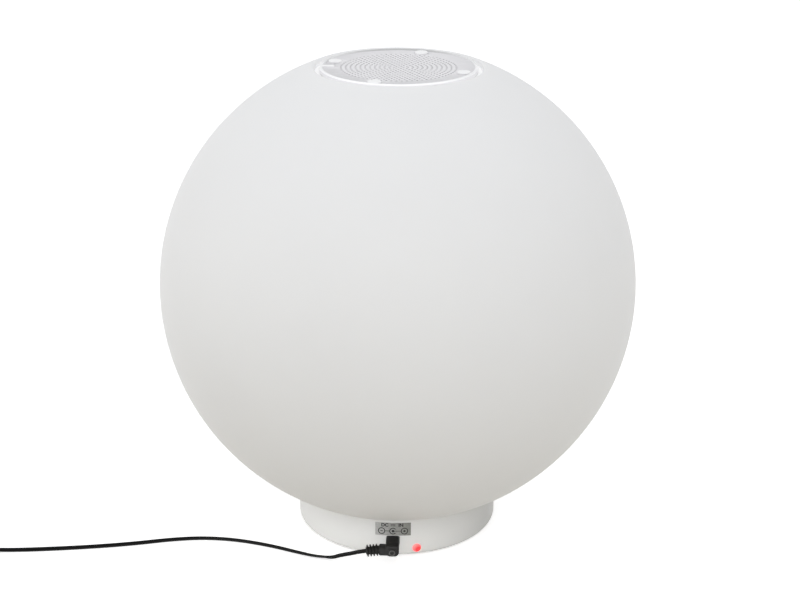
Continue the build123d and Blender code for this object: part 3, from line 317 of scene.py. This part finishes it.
globe_wall = 0.0035
_, panel_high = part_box("speaker_panel")
gasket_low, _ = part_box("panel_gasket")
recess_radius = 0.0682
rim_round = 0.0025
panel_seat = gasket_low.z
ledge_thick = 0.004
opening_radius = 0.0512
seat_blur = 0.0004
under_seat = 0.0005
round_across = recess_radius + rim_round
round_up = globe_centre.z + math.sqrt((globe_radius - rim_round) ** 2 - round_across**2)
round_start = math.atan2(round_up - globe_centre.z, round_across)
mouth_angle = -math.acos(mouth_radius / globe_radius)
inner_radius = globe_radius - globe_wall
ledge_under = panel_seat - ledge_thick
ledge_angle = math.asin((ledge_under - globe_centre.z) / inner_radius)
inner_mouth = -math.acos(mouth_radius / inner_radius)
globe_section = arc((0, globe_centre.z), globe_radius, mouth_angle, round_start, 150)
globe_section += arc((round_across, round_up), rim_round, round_start, math.pi, 9)[1:]
globe_section += [
    (recess_radius, panel_seat),
    (opening_radius, panel_seat),
    (opening_radius, ledge_under),
]
globe_section += arc((0, globe_centre.z), inner_radius, ledge_angle, inner_mouth, 60)

milky, nodes, links, shader = started("milky_polyethylene")
shader.inputs["Subsurface Weight"].default_value = 0.18
shader.inputs["Subsurface Radius"].default_value = (1.0, 0.95, 0.88)
shader.inputs["Subsurface Scale"].default_value = 0.006
shader.inputs["IOR"].default_value = 1.5
shader.inputs["Specular IOR Level"].default_value = 0.35
place = added(nodes, "TexCoord")
mottle = added(nodes, "TexNoise", {"Scale": 14, "Detail": 4})
tone = added(nodes, "Mix", {"A": (0.855, 0.855, 0.855, 1), "B": (0.885, 0.885, 0.882, 1)})
sheen = added(nodes, "MapRange", {"To Min": 0.46, "To Max": 0.56})
peel = added(nodes, "TexNoise", {"Scale": 260, "Detail": 2})
peel_bump = added(nodes, "Bump", {"Distance": 0.00006, "Strength": 0.5})
links.new(place.outputs["Object"], mottle.inputs["Vector"])
links.new(place.outputs["Object"], peel.inputs["Vector"])
links.new(mottle.outputs["Fac"], tone.inputs["Factor"])
links.new(mottle.outputs["Fac"], sheen.inputs["Value"])
links.new(tone.outputs["Result"], shader.inputs["Base Color"])
links.new(sheen.outputs["Result"], shader.inputs["Roughness"])
links.new(peel.outputs["Fac"], peel_bump.inputs["Height"])
links.new(peel_bump.outputs["Normal"], shader.inputs["Normal"])
where = added(nodes, "SeparateXYZ")
# a faint white emission on the seat's wall, above the seat itself: painted light in the channel
# round the panel
crown = added(nodes, "Math", {1: panel_seat - under_seat}, operation="GREATER_THAN")
seat_painted_glow = added(
    nodes,
    "MapRange",
    {
        "From Min": recess_radius + seat_blur,
        "From Max": recess_radius - seat_blur,
        "To Max": 0.19,
    },
)
painted_seat_light = added(nodes, "Math", operation="MULTIPLY")
links.new(from_axis(nodes, links, place), seat_painted_glow.inputs["Value"])
links.new(place.outputs["Object"], where.inputs["Vector"])
links.new(where.outputs["Z"], crown.inputs[0])
links.new(seat_painted_glow.outputs["Result"], painted_seat_light.inputs[0])
links.new(crown.outputs["Value"], painted_seat_light.inputs[1])
links.new(painted_seat_light.outputs["Value"], shader.inputs["Emission Strength"])
shader.inputs["Emission Color"].default_value = (1, 1, 1, 1)
globe = placed("globe", lathe("globe", globe_section, 288), milky)
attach(globe, "light")
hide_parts("globe_shell")


# The base: an injection-moulded white drum that the globe is clamped down on, with a hole at the
# front for the charging socket and another beside it for the charging light.
def moulded(name, colour, roughness, grain=0.0007, relief=0.00003, mottled=0.02, specular=0.5):
    """Injection-moulded plastic: an even colour with a slight cloud and a spark-eroded grain."""
    finish, nodes, links, shader = started(name)
    shader.inputs["Specular IOR Level"].default_value = specular
    place = added(nodes, "TexCoord")
    clouds = added(nodes, "TexNoise", {"Scale": 45})
    tone = added(
        nodes,
        "Mix",
        {
            "A": (*[c * (1 - mottled) for c in colour], 1),
            "B": (*[min(c * (1 + mottled), 1) for c in colour], 1),
        },
    )
    skin = added(nodes, "TexNoise", {"Scale": 1 / grain, "Detail": 2})
    polish = added(nodes, "MapRange", {"To Min": roughness - 0.05, "To Max": roughness + 0.05})
    bump = added(nodes, "Bump", {"Distance": relief, "Strength": 0.5})
    links.new(place.outputs["Object"], clouds.inputs["Vector"])
    links.new(place.outputs["Object"], skin.inputs["Vector"])
    links.new(clouds.outputs["Fac"], tone.inputs["Factor"])
    links.new(clouds.outputs["Fac"], polish.inputs["Value"])
    links.new(tone.outputs["Result"], shader.inputs["Base Color"])
    links.new(polish.outputs["Result"], shader.inputs["Roughness"])
    links.new(skin.outputs["Fac"], bump.inputs["Height"])
    links.new(bump.outputs["Normal"], shader.inputs["Normal"])
    return finish


def smoothed(name, node, material, body, angle=30):
    """The solid's own shape again as one welded skin, so that its curved walls shade smoothly."""
    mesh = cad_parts[node].data.copy()
    form = bmesh.new()
    form.from_mesh(mesh)
    bmesh.ops.remove_doubles(form, verts=form.verts, dist=1e-6)
    form.to_mesh(mesh)
    form.free()
    mesh.shade_smooth()
    mesh.set_sharp_from_angle(angle=math.radians(angle))
    piece = placed(name, mesh, material)
    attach(piece, body)
    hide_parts(node)
    return piece


drum_white = moulded("drum_white", (0.61, 0.61, 0.60), 0.42)
smoothed("base_drum", "base_housing", drum_white, "light")
finish_node(drum_white, "base_cover")

# The four feet are soft grey rubber discs, let into the drum's underside and glued, so that the
# light stands level and doesn't slip.
foot_rubber = vinyl("foot_rubber", (0.16, 0.16, 0.16), 0.75, 0.0012, 0.00005)
smoothed("feet", "rubber_feet", foot_rubber, "light")

# The socket's label: a thin printed plate bent round the drum, its grey painted silvery at the
# left end and darker at the right, a painted reflection. Its marks are a direct-current sign over
# the three rings of a polarity diagram, all in black ink.
label_low, label_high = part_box("rating_label")
drum_radius = 0.086
plate_thick = 0.0003
label_plate, nodes, links, shader = started("label_foil_painted_reflection")
shader.inputs["Roughness"].default_value = 0.38
place = added(nodes, "TexCoord")
across = added(nodes, "SeparateXYZ")
# painted reflection: the plate's grey runs from lighter at its left end to darker at its right
painted_reflection_fade = added(nodes, "MapRange", {"From Min": label_low.x, "From Max": label_high.x})
grey = added(nodes, "Mix", {"A": (0.35, 0.35, 0.34, 1), "B": (0.165, 0.165, 0.15, 1)})
speckle = added(nodes, "TexNoise", {"Scale": 900})
ink = added(nodes, "Mix", {"Factor": 0.35})
ink.blend_type = "OVERLAY"
links.new(place.outputs["Object"], across.inputs["Vector"])
links.new(place.outputs["Object"], speckle.inputs["Vector"])
links.new(across.outputs["X"], painted_reflection_fade.inputs["Value"])
links.new(painted_reflection_fade.outputs["Result"], grey.inputs["Factor"])
links.new(grey.outputs["Result"], ink.inputs["A"])
links.new(speckle.outputs["Fac"], ink.inputs["B"])
links.new(ink.outputs["Result"], shader.inputs["Base Color"])
smoothed("label", "rating_label", label_plate, "light")

ink_black = moulded("ink_black", (0.006, 0.006, 0.006), 0.6)
ink_thick = 0.00008
label_height = label_high.z - label_low.z


def printed(name, flat_faces):
    """Ink on the label: flat shapes as lists of (across, up) corners, bent round the drum."""
    form = bmesh.new()
    for corners in flat_faces:
        backs, fronts = [], []
        for across, up in corners:
            angle = across / drum_radius
            for depth, row in ((plate_thick, backs), (plate_thick + ink_thick, fronts)):
                r = drum_radius + depth
                row.append(form.verts.new((r * math.sin(angle), -r * math.cos(angle), up)))
        form.faces.new(fronts)
        form.faces.new(backs[::-1])
        for i in range(len(corners)):
            j = (i + 1) % len(corners)
            form.faces.new((backs[i], backs[j], fronts[j], fronts[i]))
    bmesh.ops.recalc_face_normals(form, faces=form.faces)
    mesh = bpy.data.meshes.new(name)
    form.to_mesh(mesh)
    form.free()
    piece = placed(name, mesh, ink_black)
    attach(piece, "light")
    return piece


def bar(across, up, width, height):
    """One upright oblong of ink."""
    x, z = width / 2, height / 2
    return [(across - x, up - z), (across + x, up - z), (across + x, up + z), (across - x, up + z)]


def ring(across, up, radius, stroke, start=0, end=360, steps=28):
    """A ring of ink, or part of one, as short quads."""
    quads = []
    for i in range(steps):
        a, b = (math.radians(start + (end - start) * k / steps) for k in (i, i + 1))
        inner, outer = radius - stroke / 2, radius + stroke / 2
        quads.append(
            [
                (across + r * math.cos(t), up + r * math.sin(t))
                for r, t in ((inner, a), (outer, a), (outer, b), (inner, b))
            ]
        )
    return quads


def dot(across, up, radius, steps=20):
    """A round spot of ink."""
    angles = [2 * math.pi * i / steps for i in range(steps)]
    return [(across + radius * math.cos(a), up + radius * math.sin(a)) for a in angles]


rings_up = label_low.z + label_height * 0.36
words_up = label_low.z + label_height * 0.82
ring_radius = 0.0027
ring_apart = 0.0096
ring_stroke = 0.00075
ring_gap = 40  # half the gap in the middle ring, in degrees
core_radius = 0.0012
sign_width = 0.0022
minus_stroke = 0.0006
plus_stroke = 0.0009
link_stroke = 0.0005
dash_stroke = 0.0006
line_width = 0.0040
line_up = 0.0005
dash_width = 0.0011
dash_apart = 0.0014
dash_down = 0.0006
marks = ring(-ring_apart, rings_up, ring_radius, ring_stroke)
marks += ring(ring_apart, rings_up, ring_radius, ring_stroke)
marks += ring(0, rings_up, ring_radius, ring_stroke, ring_gap, 360 - ring_gap)
marks.append(dot(0, rings_up, core_radius))
marks.append(bar(-ring_apart, rings_up, sign_width, minus_stroke))
marks.append(bar(ring_apart, rings_up, sign_width, plus_stroke))
marks.append(bar(ring_apart, rings_up, plus_stroke, sign_width))
# a link from ring to ring on the left, and on the right one from the core
link_ends = [
    (-ring_apart + ring_radius, -ring_radius),
    (ring_radius * 0.3, ring_apart - ring_radius),
]
for start, end in link_ends:
    marks.append(bar((start + end) / 2, rings_up, end - start, link_stroke))
# the sign for direct current: one long line over three dashes
marks.append(bar(0, words_up + line_up, line_width, dash_stroke))
for step in (-1, 0, 1):
    marks.append(bar(step * dash_apart, words_up - dash_down, dash_width, dash_stroke))
printed("label_marks", marks)


def lettered(name, words, across, up, height):
    """A printed word, bent round the drum like the label under it."""
    text = bpy.data.curves.new(name, "FONT")
    text.body = words
    text.align_x = "CENTER"
    text.align_y = "CENTER"
    text.size = height * 1.4  # a capital stands a little lower than the size of its face
    text.extrude = ink_thick / 2
    text.offset = 0.00016  # makes the strokes bolder
    holder = bpy.data.objects.new(name, text)
    scene.collection.objects.link(holder)
    bpy.context.view_layer.update()
    mesh = bpy.data.meshes.new_from_object(holder)
    bpy.data.objects.remove(holder)
    for v in mesh.vertices:
        angle = (across + v.co.x) / drum_radius
        r = drum_radius + plate_thick + ink_thick / 2 + v.co.z
        v.co = (r * math.sin(angle), -r * math.cos(angle), up + v.co.y)
    piece = placed(name, mesh, ink_black)
    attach(piece, "light")
    return piece


lettered("label_left_word", "DC", -0.0069, words_up, 0.0030)
lettered("label_right_word", "IN", 0.0066, words_up, 0.0030)

# The charging light: a red diode whose moulded dome stands out of the drum. It is lit: its
# emission is deep red at its core and grows pale towards the rim, and that pale part is a painted
# highlight. Its light tints the white wall round it.
light_low, light_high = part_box("charge_light")
light_turn = math.radians(13.4)
light_front = Vector((math.sin(light_turn), -math.cos(light_turn), 0))
light_height = (light_low.z + light_high.z) / 2
lens_red, nodes, links, shader = started("lens_red")
shader.inputs["Roughness"].default_value = 0.15
shader.inputs["Specular IOR Level"].default_value = 0.35
shader.inputs["Base Color"].default_value = (0.60, 0.02, 0.02, 1)
place = added(nodes, "TexCoord")
core = added(nodes, "VectorMath", operation="DISTANCE")
# the core lies a little to the right of the dome's tip and below it
hot_spot = light_front * (drum_radius + 0.0022) + Vector((0.0012, 0, light_height - 0.0009))
core.inputs[1].default_value = hot_spot
# the emission turns pale away from the core, most on the dome's upper left: a painted highlight
# over the diode's real red glow
glow = added(nodes, "MapRange", {"From Min": 0.0022, "From Max": 0.0056})
red_glow_and_painted_highlight = added(nodes, "Mix", {"A": (0.98, 0.04, 0.05, 1), "B": (1.0, 0.5, 0.48, 1)})
links.new(place.outputs["Object"], core.inputs[0])
links.new(core.outputs["Value"], glow.inputs["Value"])
links.new(glow.outputs["Result"], red_glow_and_painted_highlight.inputs["Factor"])
links.new(red_glow_and_painted_highlight.outputs["Result"], shader.inputs["Emission Color"])
shader.inputs["Emission Strength"].default_value = 0.75
lens_back = drum_radius - 0.0124
lens_radius = 0.0032
dome_seat = drum_radius + 0.0001
dome_radius = 0.00375
dome_rise = 0.0024
dome_steps = 8
off_axis = 0.00001  # a hair's width, so that no two points of a turned outline meet
lens_outline = [(off_axis, lens_back), (lens_radius, lens_back), (lens_radius, dome_seat)]
for step in range(dome_steps + 1):
    angle = math.pi / 2 * step / dome_steps
    out = max(dome_radius * math.cos(angle), off_axis)
    lens_outline.append((out, dome_seat + dome_rise * math.sin(angle)))
lens = placed("charging_light", lathe("charging_light", lens_outline, 48), lens_red)
facing = light_front.to_track_quat("Z", "Y").to_matrix().to_4x4()
lens.data.transform(Matrix.Translation((0, 0, light_height)) @ facing)
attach(lens, "light")
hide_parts("charge_light")
inner_black = moulded("inner_black", (0.03, 0.03, 0.03), 0.5)
finish_node(inner_black, "led_holder")

# The charging socket: a black moulded block behind the wall with its round nose in the drum's
# hole, and a nickel-plated centre pin.
nickel, nodes, links, shader = started("nickel_plate")
shader.inputs["Metallic"].default_value = 1.0
shader.inputs["Base Color"].default_value = (0.72, 0.70, 0.66, 1)
place = added(nodes, "TexCoord")
wipe = added(nodes, "TexNoise", {"Scale": 700})
wear = added(nodes, "MapRange", {"To Min": 0.18, "To Max": 0.34})
links.new(place.outputs["Object"], wipe.inputs["Vector"])
links.new(wipe.outputs["Fac"], wear.inputs["Value"])
links.new(wear.outputs["Result"], shader.inputs["Roughness"])
smoothed("socket_block", "charging_socket", inner_black, "light")
finish_node(nickel, "socket_pin")

# The speaker panel: a light grey perforated disc with a raised lip, screwed down on a gasket. Four
# domed caps hide its screws, with a small bar and a drain hole at its left. Its colours hold
# painted light and shade: dark holes, a lip painted bright at the front and darker at the back, a
# faint painted highlight on the lip's front and painted light on its outer edge.
lip_rise = 0.0012
panel_top = panel_high.z - lip_rise
lip_inner = 0.0619
shade_blur = 0.0003  # how softly one part's shade passes into the next part's
# strengths of faint emission: a painted highlight on the lip, and painted light on the panel's
# outer edge
lip_painted_highlight = 0.09
highlight_from, highlight_full = -0.03, -0.055  # the painted highlight on the lip runs from here on forward
edge_painted_light = 0.07
panel_grey, nodes, links, shader = started("panel_plastic")
shader.inputs["Roughness"].default_value = 0.48
shader.inputs["Emission Color"].default_value = (1, 1, 1, 1)
place = added(nodes, "TexCoord")
where = added(nodes, "SeparateXYZ")
inside = added(nodes, "MapRange", {"From Min": lip_inner, "From Max": lip_inner - shade_blur})
clouds = added(nodes, "TexNoise", {"Scale": 60})
field = added(nodes, "Mix", {"A": (0.82, 0.81, 0.825, 1), "B": (0.87, 0.86, 0.875, 1)})
# painted shade: the walls of the holes, below the panel's face and within the lip, are painted
# dark grey
sunk = added(
    nodes, "MapRange", {"From Min": panel_top - 0.00005, "From Max": panel_top - shade_blur}
)
hole_shade_mask = added(nodes, "Math", operation="MULTIPLY")
hole_painted_shade = added(nodes, "Mix", {"B": (0.45, 0.445, 0.45, 1)})
raised = added(
    nodes, "MapRange", {"From Min": panel_top + 0.0001, "From Max": panel_top + shade_blur}
)
rearward = added(nodes, "MapRange", {"From Min": -panel_high.x, "From Max": panel_high.x})
lip_painted_light = added(nodes, "ValToRGB")
# the lip's painted light and shade: bright from its front to the middle of the panel, painted
# darker towards its far side
painted_lip_shades = ((0.53, 0.97), (0.62, 0.84), (0.8, 0.78), (0.96, 0.55))
while len(lip_painted_light.color_ramp.elements) < len(painted_lip_shades):
    lip_painted_light.color_ramp.elements.new(1)
for stop, (where_to, shade) in zip(lip_painted_light.color_ramp.elements, painted_lip_shades):
    stop.position = where_to
    stop.color = (shade, shade, shade, 1)
whole = added(nodes, "Mix")
forward = added(nodes, "MapRange", {"From Min": highlight_from, "From Max": highlight_full})
# raised parts at the front of the lip or within it get a faint emission: a painted highlight
highlight_reach = added(nodes, "Math", operation="MAXIMUM")
painted_highlight_mask = added(nodes, "Math", operation="MULTIPLY")
painted_highlight_strength = added(nodes, "Math", {1: lip_painted_highlight}, operation="MULTIPLY")
links.new(place.outputs["Object"], where.inputs["Vector"])
radius = from_axis(nodes, links, place)
links.new(radius, inside.inputs["Value"])
links.new(place.outputs["Object"], clouds.inputs["Vector"])
links.new(clouds.outputs["Fac"], field.inputs["Factor"])
for band in (sunk, raised):
    links.new(where.outputs["Z"], band.inputs["Value"])
for band in (rearward, forward):
    links.new(where.outputs["Y"], band.inputs["Value"])
links.new(sunk.outputs["Result"], hole_shade_mask.inputs[0])
links.new(inside.outputs["Result"], hole_shade_mask.inputs[1])
links.new(hole_shade_mask.outputs["Value"], hole_painted_shade.inputs["Factor"])
links.new(field.outputs["Result"], hole_painted_shade.inputs["A"])
links.new(rearward.outputs["Result"], lip_painted_light.inputs["Fac"])
links.new(raised.outputs["Result"], whole.inputs["Factor"])
links.new(hole_painted_shade.outputs["Result"], whole.inputs["A"])
links.new(lip_painted_light.outputs["Color"], whole.inputs["B"])
links.new(whole.outputs["Result"], shader.inputs["Base Color"])
links.new(forward.outputs["Result"], highlight_reach.inputs[0])
links.new(inside.outputs["Result"], highlight_reach.inputs[1])
links.new(raised.outputs["Result"], painted_highlight_mask.inputs[0])
links.new(highlight_reach.outputs["Value"], painted_highlight_mask.inputs[1])
links.new(painted_highlight_mask.outputs["Value"], painted_highlight_strength.inputs[0])
# a faint emission on the panel's outer edge: painted light that lightens the channel round it
edge = added(
    nodes,
    "MapRange",
    {
        "From Min": panel_high.x - shade_blur,
        "From Max": panel_high.x - 0.0001,
        "To Max": edge_painted_light,
    },
)
total = added(nodes, "Math")
links.new(radius, edge.inputs["Value"])
links.new(painted_highlight_strength.outputs["Value"], total.inputs[0])
links.new(edge.outputs["Result"], total.inputs[1])
links.new(total.outputs["Value"], shader.inputs["Emission Strength"])
smoothed("panel", "speaker_panel", panel_grey, "light")
cap_white = moulded("cap_white", (0.95, 0.95, 0.95), 0.3)
smoothed("caps", "screw_caps", cap_white, "light")


# Under the panel hang its screws and brass bushings, the gasket, and the speaker in its closed
# chamber: basket, paper cone with its dust cap, rubber surround, cloth spider and magnet.
def metal(name, colour, roughness, streak=(300, 300, 300), metallic=1.0):
    """Plated or cast metal with faint marks from its tooling."""
    finish, nodes, links, shader = started(name)
    shader.inputs["Metallic"].default_value = metallic
    place = added(nodes, "TexCoord")
    spread = added(nodes, "Mapping", {"Scale": streak})
    marks = added(nodes, "TexNoise", {"Scale": 1})
    tone = added(nodes, "Mix", {"A": (*[c * 0.88 for c in colour], 1), "B": (*colour, 1)})
    polish = added(nodes, "MapRange", {"To Min": roughness - 0.08, "To Max": roughness + 0.08})
    links.new(place.outputs["Object"], spread.inputs["Vector"])
    links.new(spread.outputs["Vector"], marks.inputs["Vector"])
    links.new(marks.outputs["Fac"], tone.inputs["Factor"])
    links.new(marks.outputs["Fac"], polish.inputs["Value"])
    links.new(tone.outputs["Result"], shader.inputs["Base Color"])
    links.new(polish.outputs["Result"], shader.inputs["Roughness"])
    return finish


zinc = metal("zinc_plate", (0.66, 0.66, 0.68), 0.34)
finish_node(zinc, "panel_screws", "speaker_screws", "base_screws", "dome_screws", "board_screws")
finish_node(zinc, "front_plate", "yoke")
finish_node(metal("turned_brass", (0.80, 0.62, 0.28), 0.3), "panel_inserts")
finish_node(metal("ferrite", (0.10, 0.10, 0.11), 0.55, (150, 150, 150), 0.4), "magnet")
enamel = metal("basket_enamel", (0.03, 0.03, 0.03), 0.4, (120, 120, 120), 0.1)
finish_node(enamel, "speaker_basket")
finish_node(metal("copper_wire", (0.78, 0.36, 0.18), 0.3, (100, 100, 9000)), "voice_coil")
seal_rubber = vinyl("seal_rubber", (0.05, 0.05, 0.05), 0.7, 0.0015, 0.00006)
finish_node(seal_rubber, "speaker_gasket", "lead_grommets", "cover_seal")
finish_node(vinyl("clear_gasket", (0.75, 0.75, 0.74), 0.5, 0.0012, 0.00003), "panel_gasket")
finish_node(seal_rubber, "globe_gasket", "speaker_surround")
paper = vinyl("cone_paper", (0.035, 0.035, 0.035), 0.9, 0.0006, 0.00008)
finish_node(paper, "speaker_cone", "dust_cap")
finish_node(vinyl("spider_cloth", (0.42, 0.26, 0.09), 0.85, 0.0005, 0.00006), "speaker_spider")
finish_node(inner_black, "speaker_terminal")
frame_grey = moulded("frame_grey", (0.25, 0.25, 0.25), 0.5)
finish_node(frame_grey, "back_chamber", "globe_clamp")
finish_node(vinyl("inner_lead", (0.02, 0.02, 0.02), 0.5, 0.001, 0.00003), "speaker_lead")

# Inside the globe's mouth sit the light's board on its aluminium spreader and the opal dome over
# its diodes; under the deck hang the battery, the circuit board and the switch.
finish_node(metal("plain_aluminium", (0.80, 0.80, 0.82), 0.35), "heat_spreader", "radio_module")
finish_node(moulded("board_white", (0.75, 0.75, 0.73), 0.4), "light_board")
finish_node(moulded("diode_yellow", (0.85, 0.66, 0.12), 0.3), "light_chips")
finish_node(moulded("opal_cover", (0.88, 0.88, 0.87), 0.3), "light_dome")
finish_node(moulded("cell_wrap", (0.04, 0.12, 0.38), 0.28), "battery_cells")
finish_node(inner_black, "battery_cradle", "battery_strap", "switch_body")
finish_node(moulded("board_green", (0.02, 0.13, 0.04), 0.35), "main_board")
finish_node(moulded("component_black", (0.02, 0.02, 0.02), 0.45), "board_components")

# The power button, in the middle of the underside, pushes up against a silicone return dome,
# which flattens towards the switch above it as the button goes in.
smoothed("button_cap", "power_button", cap_white, "button")
silicone = vinyl("silicone", (0.55, 0.55, 0.53), 0.5, 0.0012, 0.00003)
return_dome = smoothed("return_dome", "button_boot", silicone, "light")
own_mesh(return_dome)

# The charger's plug: a right-angled black moulding over a nickel-plated barrel, with a round
# boss on its corner and a ribbed strain relief that lets the lead bend.
plug_black = moulded("plug_black", (0.008, 0.0075, 0.007), 0.55, 0.0005, 0.00003, 0.12, 0.25)
smoothed("plug", "plug_body", plug_black, "charger", 28)
# a bead round the boss in a lighter, glossier black than the plug: its gloss reflects the room,
# and its lighter colour is a painted highlight ring
plug_gloss_and_highlight = moulded("plug_gloss_and_highlight", (0.06, 0.06, 0.057), 0.25)
boss_radius = 0.0022
boss_bead = 0.00055
boss_face = (0, -0.1054, 0.0141)
bead_section = arc((boss_radius, 0), boss_bead, 0, 2 * math.pi, 12)[:-1]
boss_ring = lathe("boss_ring", bead_section, 40, 80)
boss_ring.transform(Matrix.Translation(boss_face) @ Matrix.Rotation(math.pi / 2, 4, "X"))
ring_piece = placed("plug_boss_ring", boss_ring, plug_gloss_and_highlight)
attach(ring_piece, "charger")
finish_node(nickel, "plug_barrel", "plug_contact", "mains_pins")
finish_node(inner_black, "plug_insulator")

# The tie that holds the coil: a band of soft, nearly black vinyl, looped once round all the
# turns, so that they stay flat.
tie = vinyl("tie_grey", (0.04, 0.04, 0.04), 0.5, 0.0008, 0.00003)
finish_node(tie, "coil_strap")

# The mains adaptor, put away with the coil: a black case in two halves, with two round pins and
# a moulded relief where the lead leaves it.
case_black = moulded("case_black", (0.022, 0.022, 0.023), 0.45, 0.0006, 0.00006, 0.08)
finish_node(case_black, "adaptor_base", "adaptor_lid")
finish_node(lead_black, "adaptor_relief")

# The floor and the room: a floor that looks white and bounces a warm light up at the globe, and
# an even pale room. What is looked at, straight, in a mirror or through glass, is brighter in
# both than the light that they give.
def looked_at(nodes, links):
    """One for a ray that comes from the camera, a mirror or glass, and nought for any other."""
    way = added(nodes, "LightPath")
    seen = added(nodes, "Math", operation="MAXIMUM")
    shine = added(nodes, "Math", operation="MAXIMUM")
    links.new(way.outputs["Is Camera Ray"], seen.inputs[0])
    links.new(way.outputs["Is Glossy Ray"], seen.inputs[1])
    links.new(seen.outputs["Value"], shine.inputs[0])
    links.new(way.outputs["Is Transmission Ray"], shine.inputs[1])
    return shine.outputs["Value"]


floor_mesh = bpy.data.meshes.new("floor")
reach = 6.0
floor_mesh.from_pydata(
    [(-reach, -reach, 0), (reach, -reach, 0), (reach, reach, 0), (-reach, reach, 0)],
    [],
    [(0, 1, 2, 3)],
)
floor_pale, nodes, links, shader = started("floor_pale")
nodes.remove(shader)
bounce = added(nodes, "BsdfDiffuse", {"Color": (0.585, 0.555, 0.485, 1)})
paint = added(nodes, "BsdfDiffuse", {"Color": (0.9, 0.9, 0.9, 1)})
lift = added(nodes, "Emission", {"Color": (1, 1, 1, 1), "Strength": 0.55})
bright = added(nodes, "AddShader")
choose = added(nodes, "MixShader")
links.new(paint.outputs["BSDF"], bright.inputs[0])
links.new(lift.outputs["Emission"], bright.inputs[1])
links.new(looked_at(nodes, links), choose.inputs["Fac"])
links.new(bounce.outputs["BSDF"], choose.inputs[1])
links.new(bright.outputs["Shader"], choose.inputs[2])
links.new(choose.outputs["Shader"], nodes["Material Output"].inputs["Surface"])
floor = placed("floor", floor_mesh, floor_pale)

room = bpy.data.worlds.new("room")
scene.world = room
room.use_nodes = True
nodes, links = room.node_tree.nodes, room.node_tree.links
lit = nodes["Background"]
lit.inputs["Color"].default_value = (0.97, 0.98, 1.0, 1)
lit.inputs["Strength"].default_value = 0.77
white = added(nodes, "Background", {"Color": (1, 1, 1, 1)})
choose = added(nodes, "MixShader")
links.new(looked_at(nodes, links), choose.inputs["Fac"])
links.new(lit.outputs["Background"], choose.inputs[1])
links.new(white.outputs["Background"], choose.inputs[2])
links.new(choose.outputs["Shader"], nodes["World Output"].inputs["Surface"])


# The lamps: broad soft ones from above, the left, the front and the right, as a photo studio has
# them, and a low strip that lights the base alone and throws no shadow of the lead on it.
def softbox(name, place, aim, width, height, power, fan=180, shadow=True):
    """A soft lamp that faces a point, its light kept within a fan of so many degrees."""
    lamp = bpy.data.lights.new(name, "AREA")
    lamp.shape = "RECTANGLE"
    lamp.size = width
    lamp.size_y = height
    lamp.energy = power
    lamp.spread = math.radians(fan)
    lamp.use_shadow = shadow
    holder = bpy.data.objects.new(name, lamp)
    scene.collection.objects.link(holder)
    towards = Vector(aim) - Vector(place)
    holder.matrix_world = (
        Matrix.Translation(place) @ towards.to_track_quat("-Z", "Y").to_matrix().to_4x4()
    )


softbox("lamp_above", (-0.1, -0.3, 2.2), (0, 0, 0.2), 2.2, 2.2, 2.9)
softbox("lamp_left", (-2.2, -1.2, 0.9), (0, 0, 0.15), 1.4, 1.4, 3.6)
softbox("lamp_side", (-2.5, 0.25, 0.6), (0, 0, 0.15), 1.2, 1.2, 4.0)
softbox("lamp_front", (0.3, -2.4, 1.4), (0, 0, 0.2), 2.0, 2.0, 10.5)
softbox("lamp_right", (2.2, -1.0, 0.9), (0, 0, 0.15), 1.4, 1.4, 1.5)
softbox("lamp_base", (-0.30, -0.68, 0.012), (0, -0.02, 0.012), 0.26, 0.016, 0.0205, 7, False)
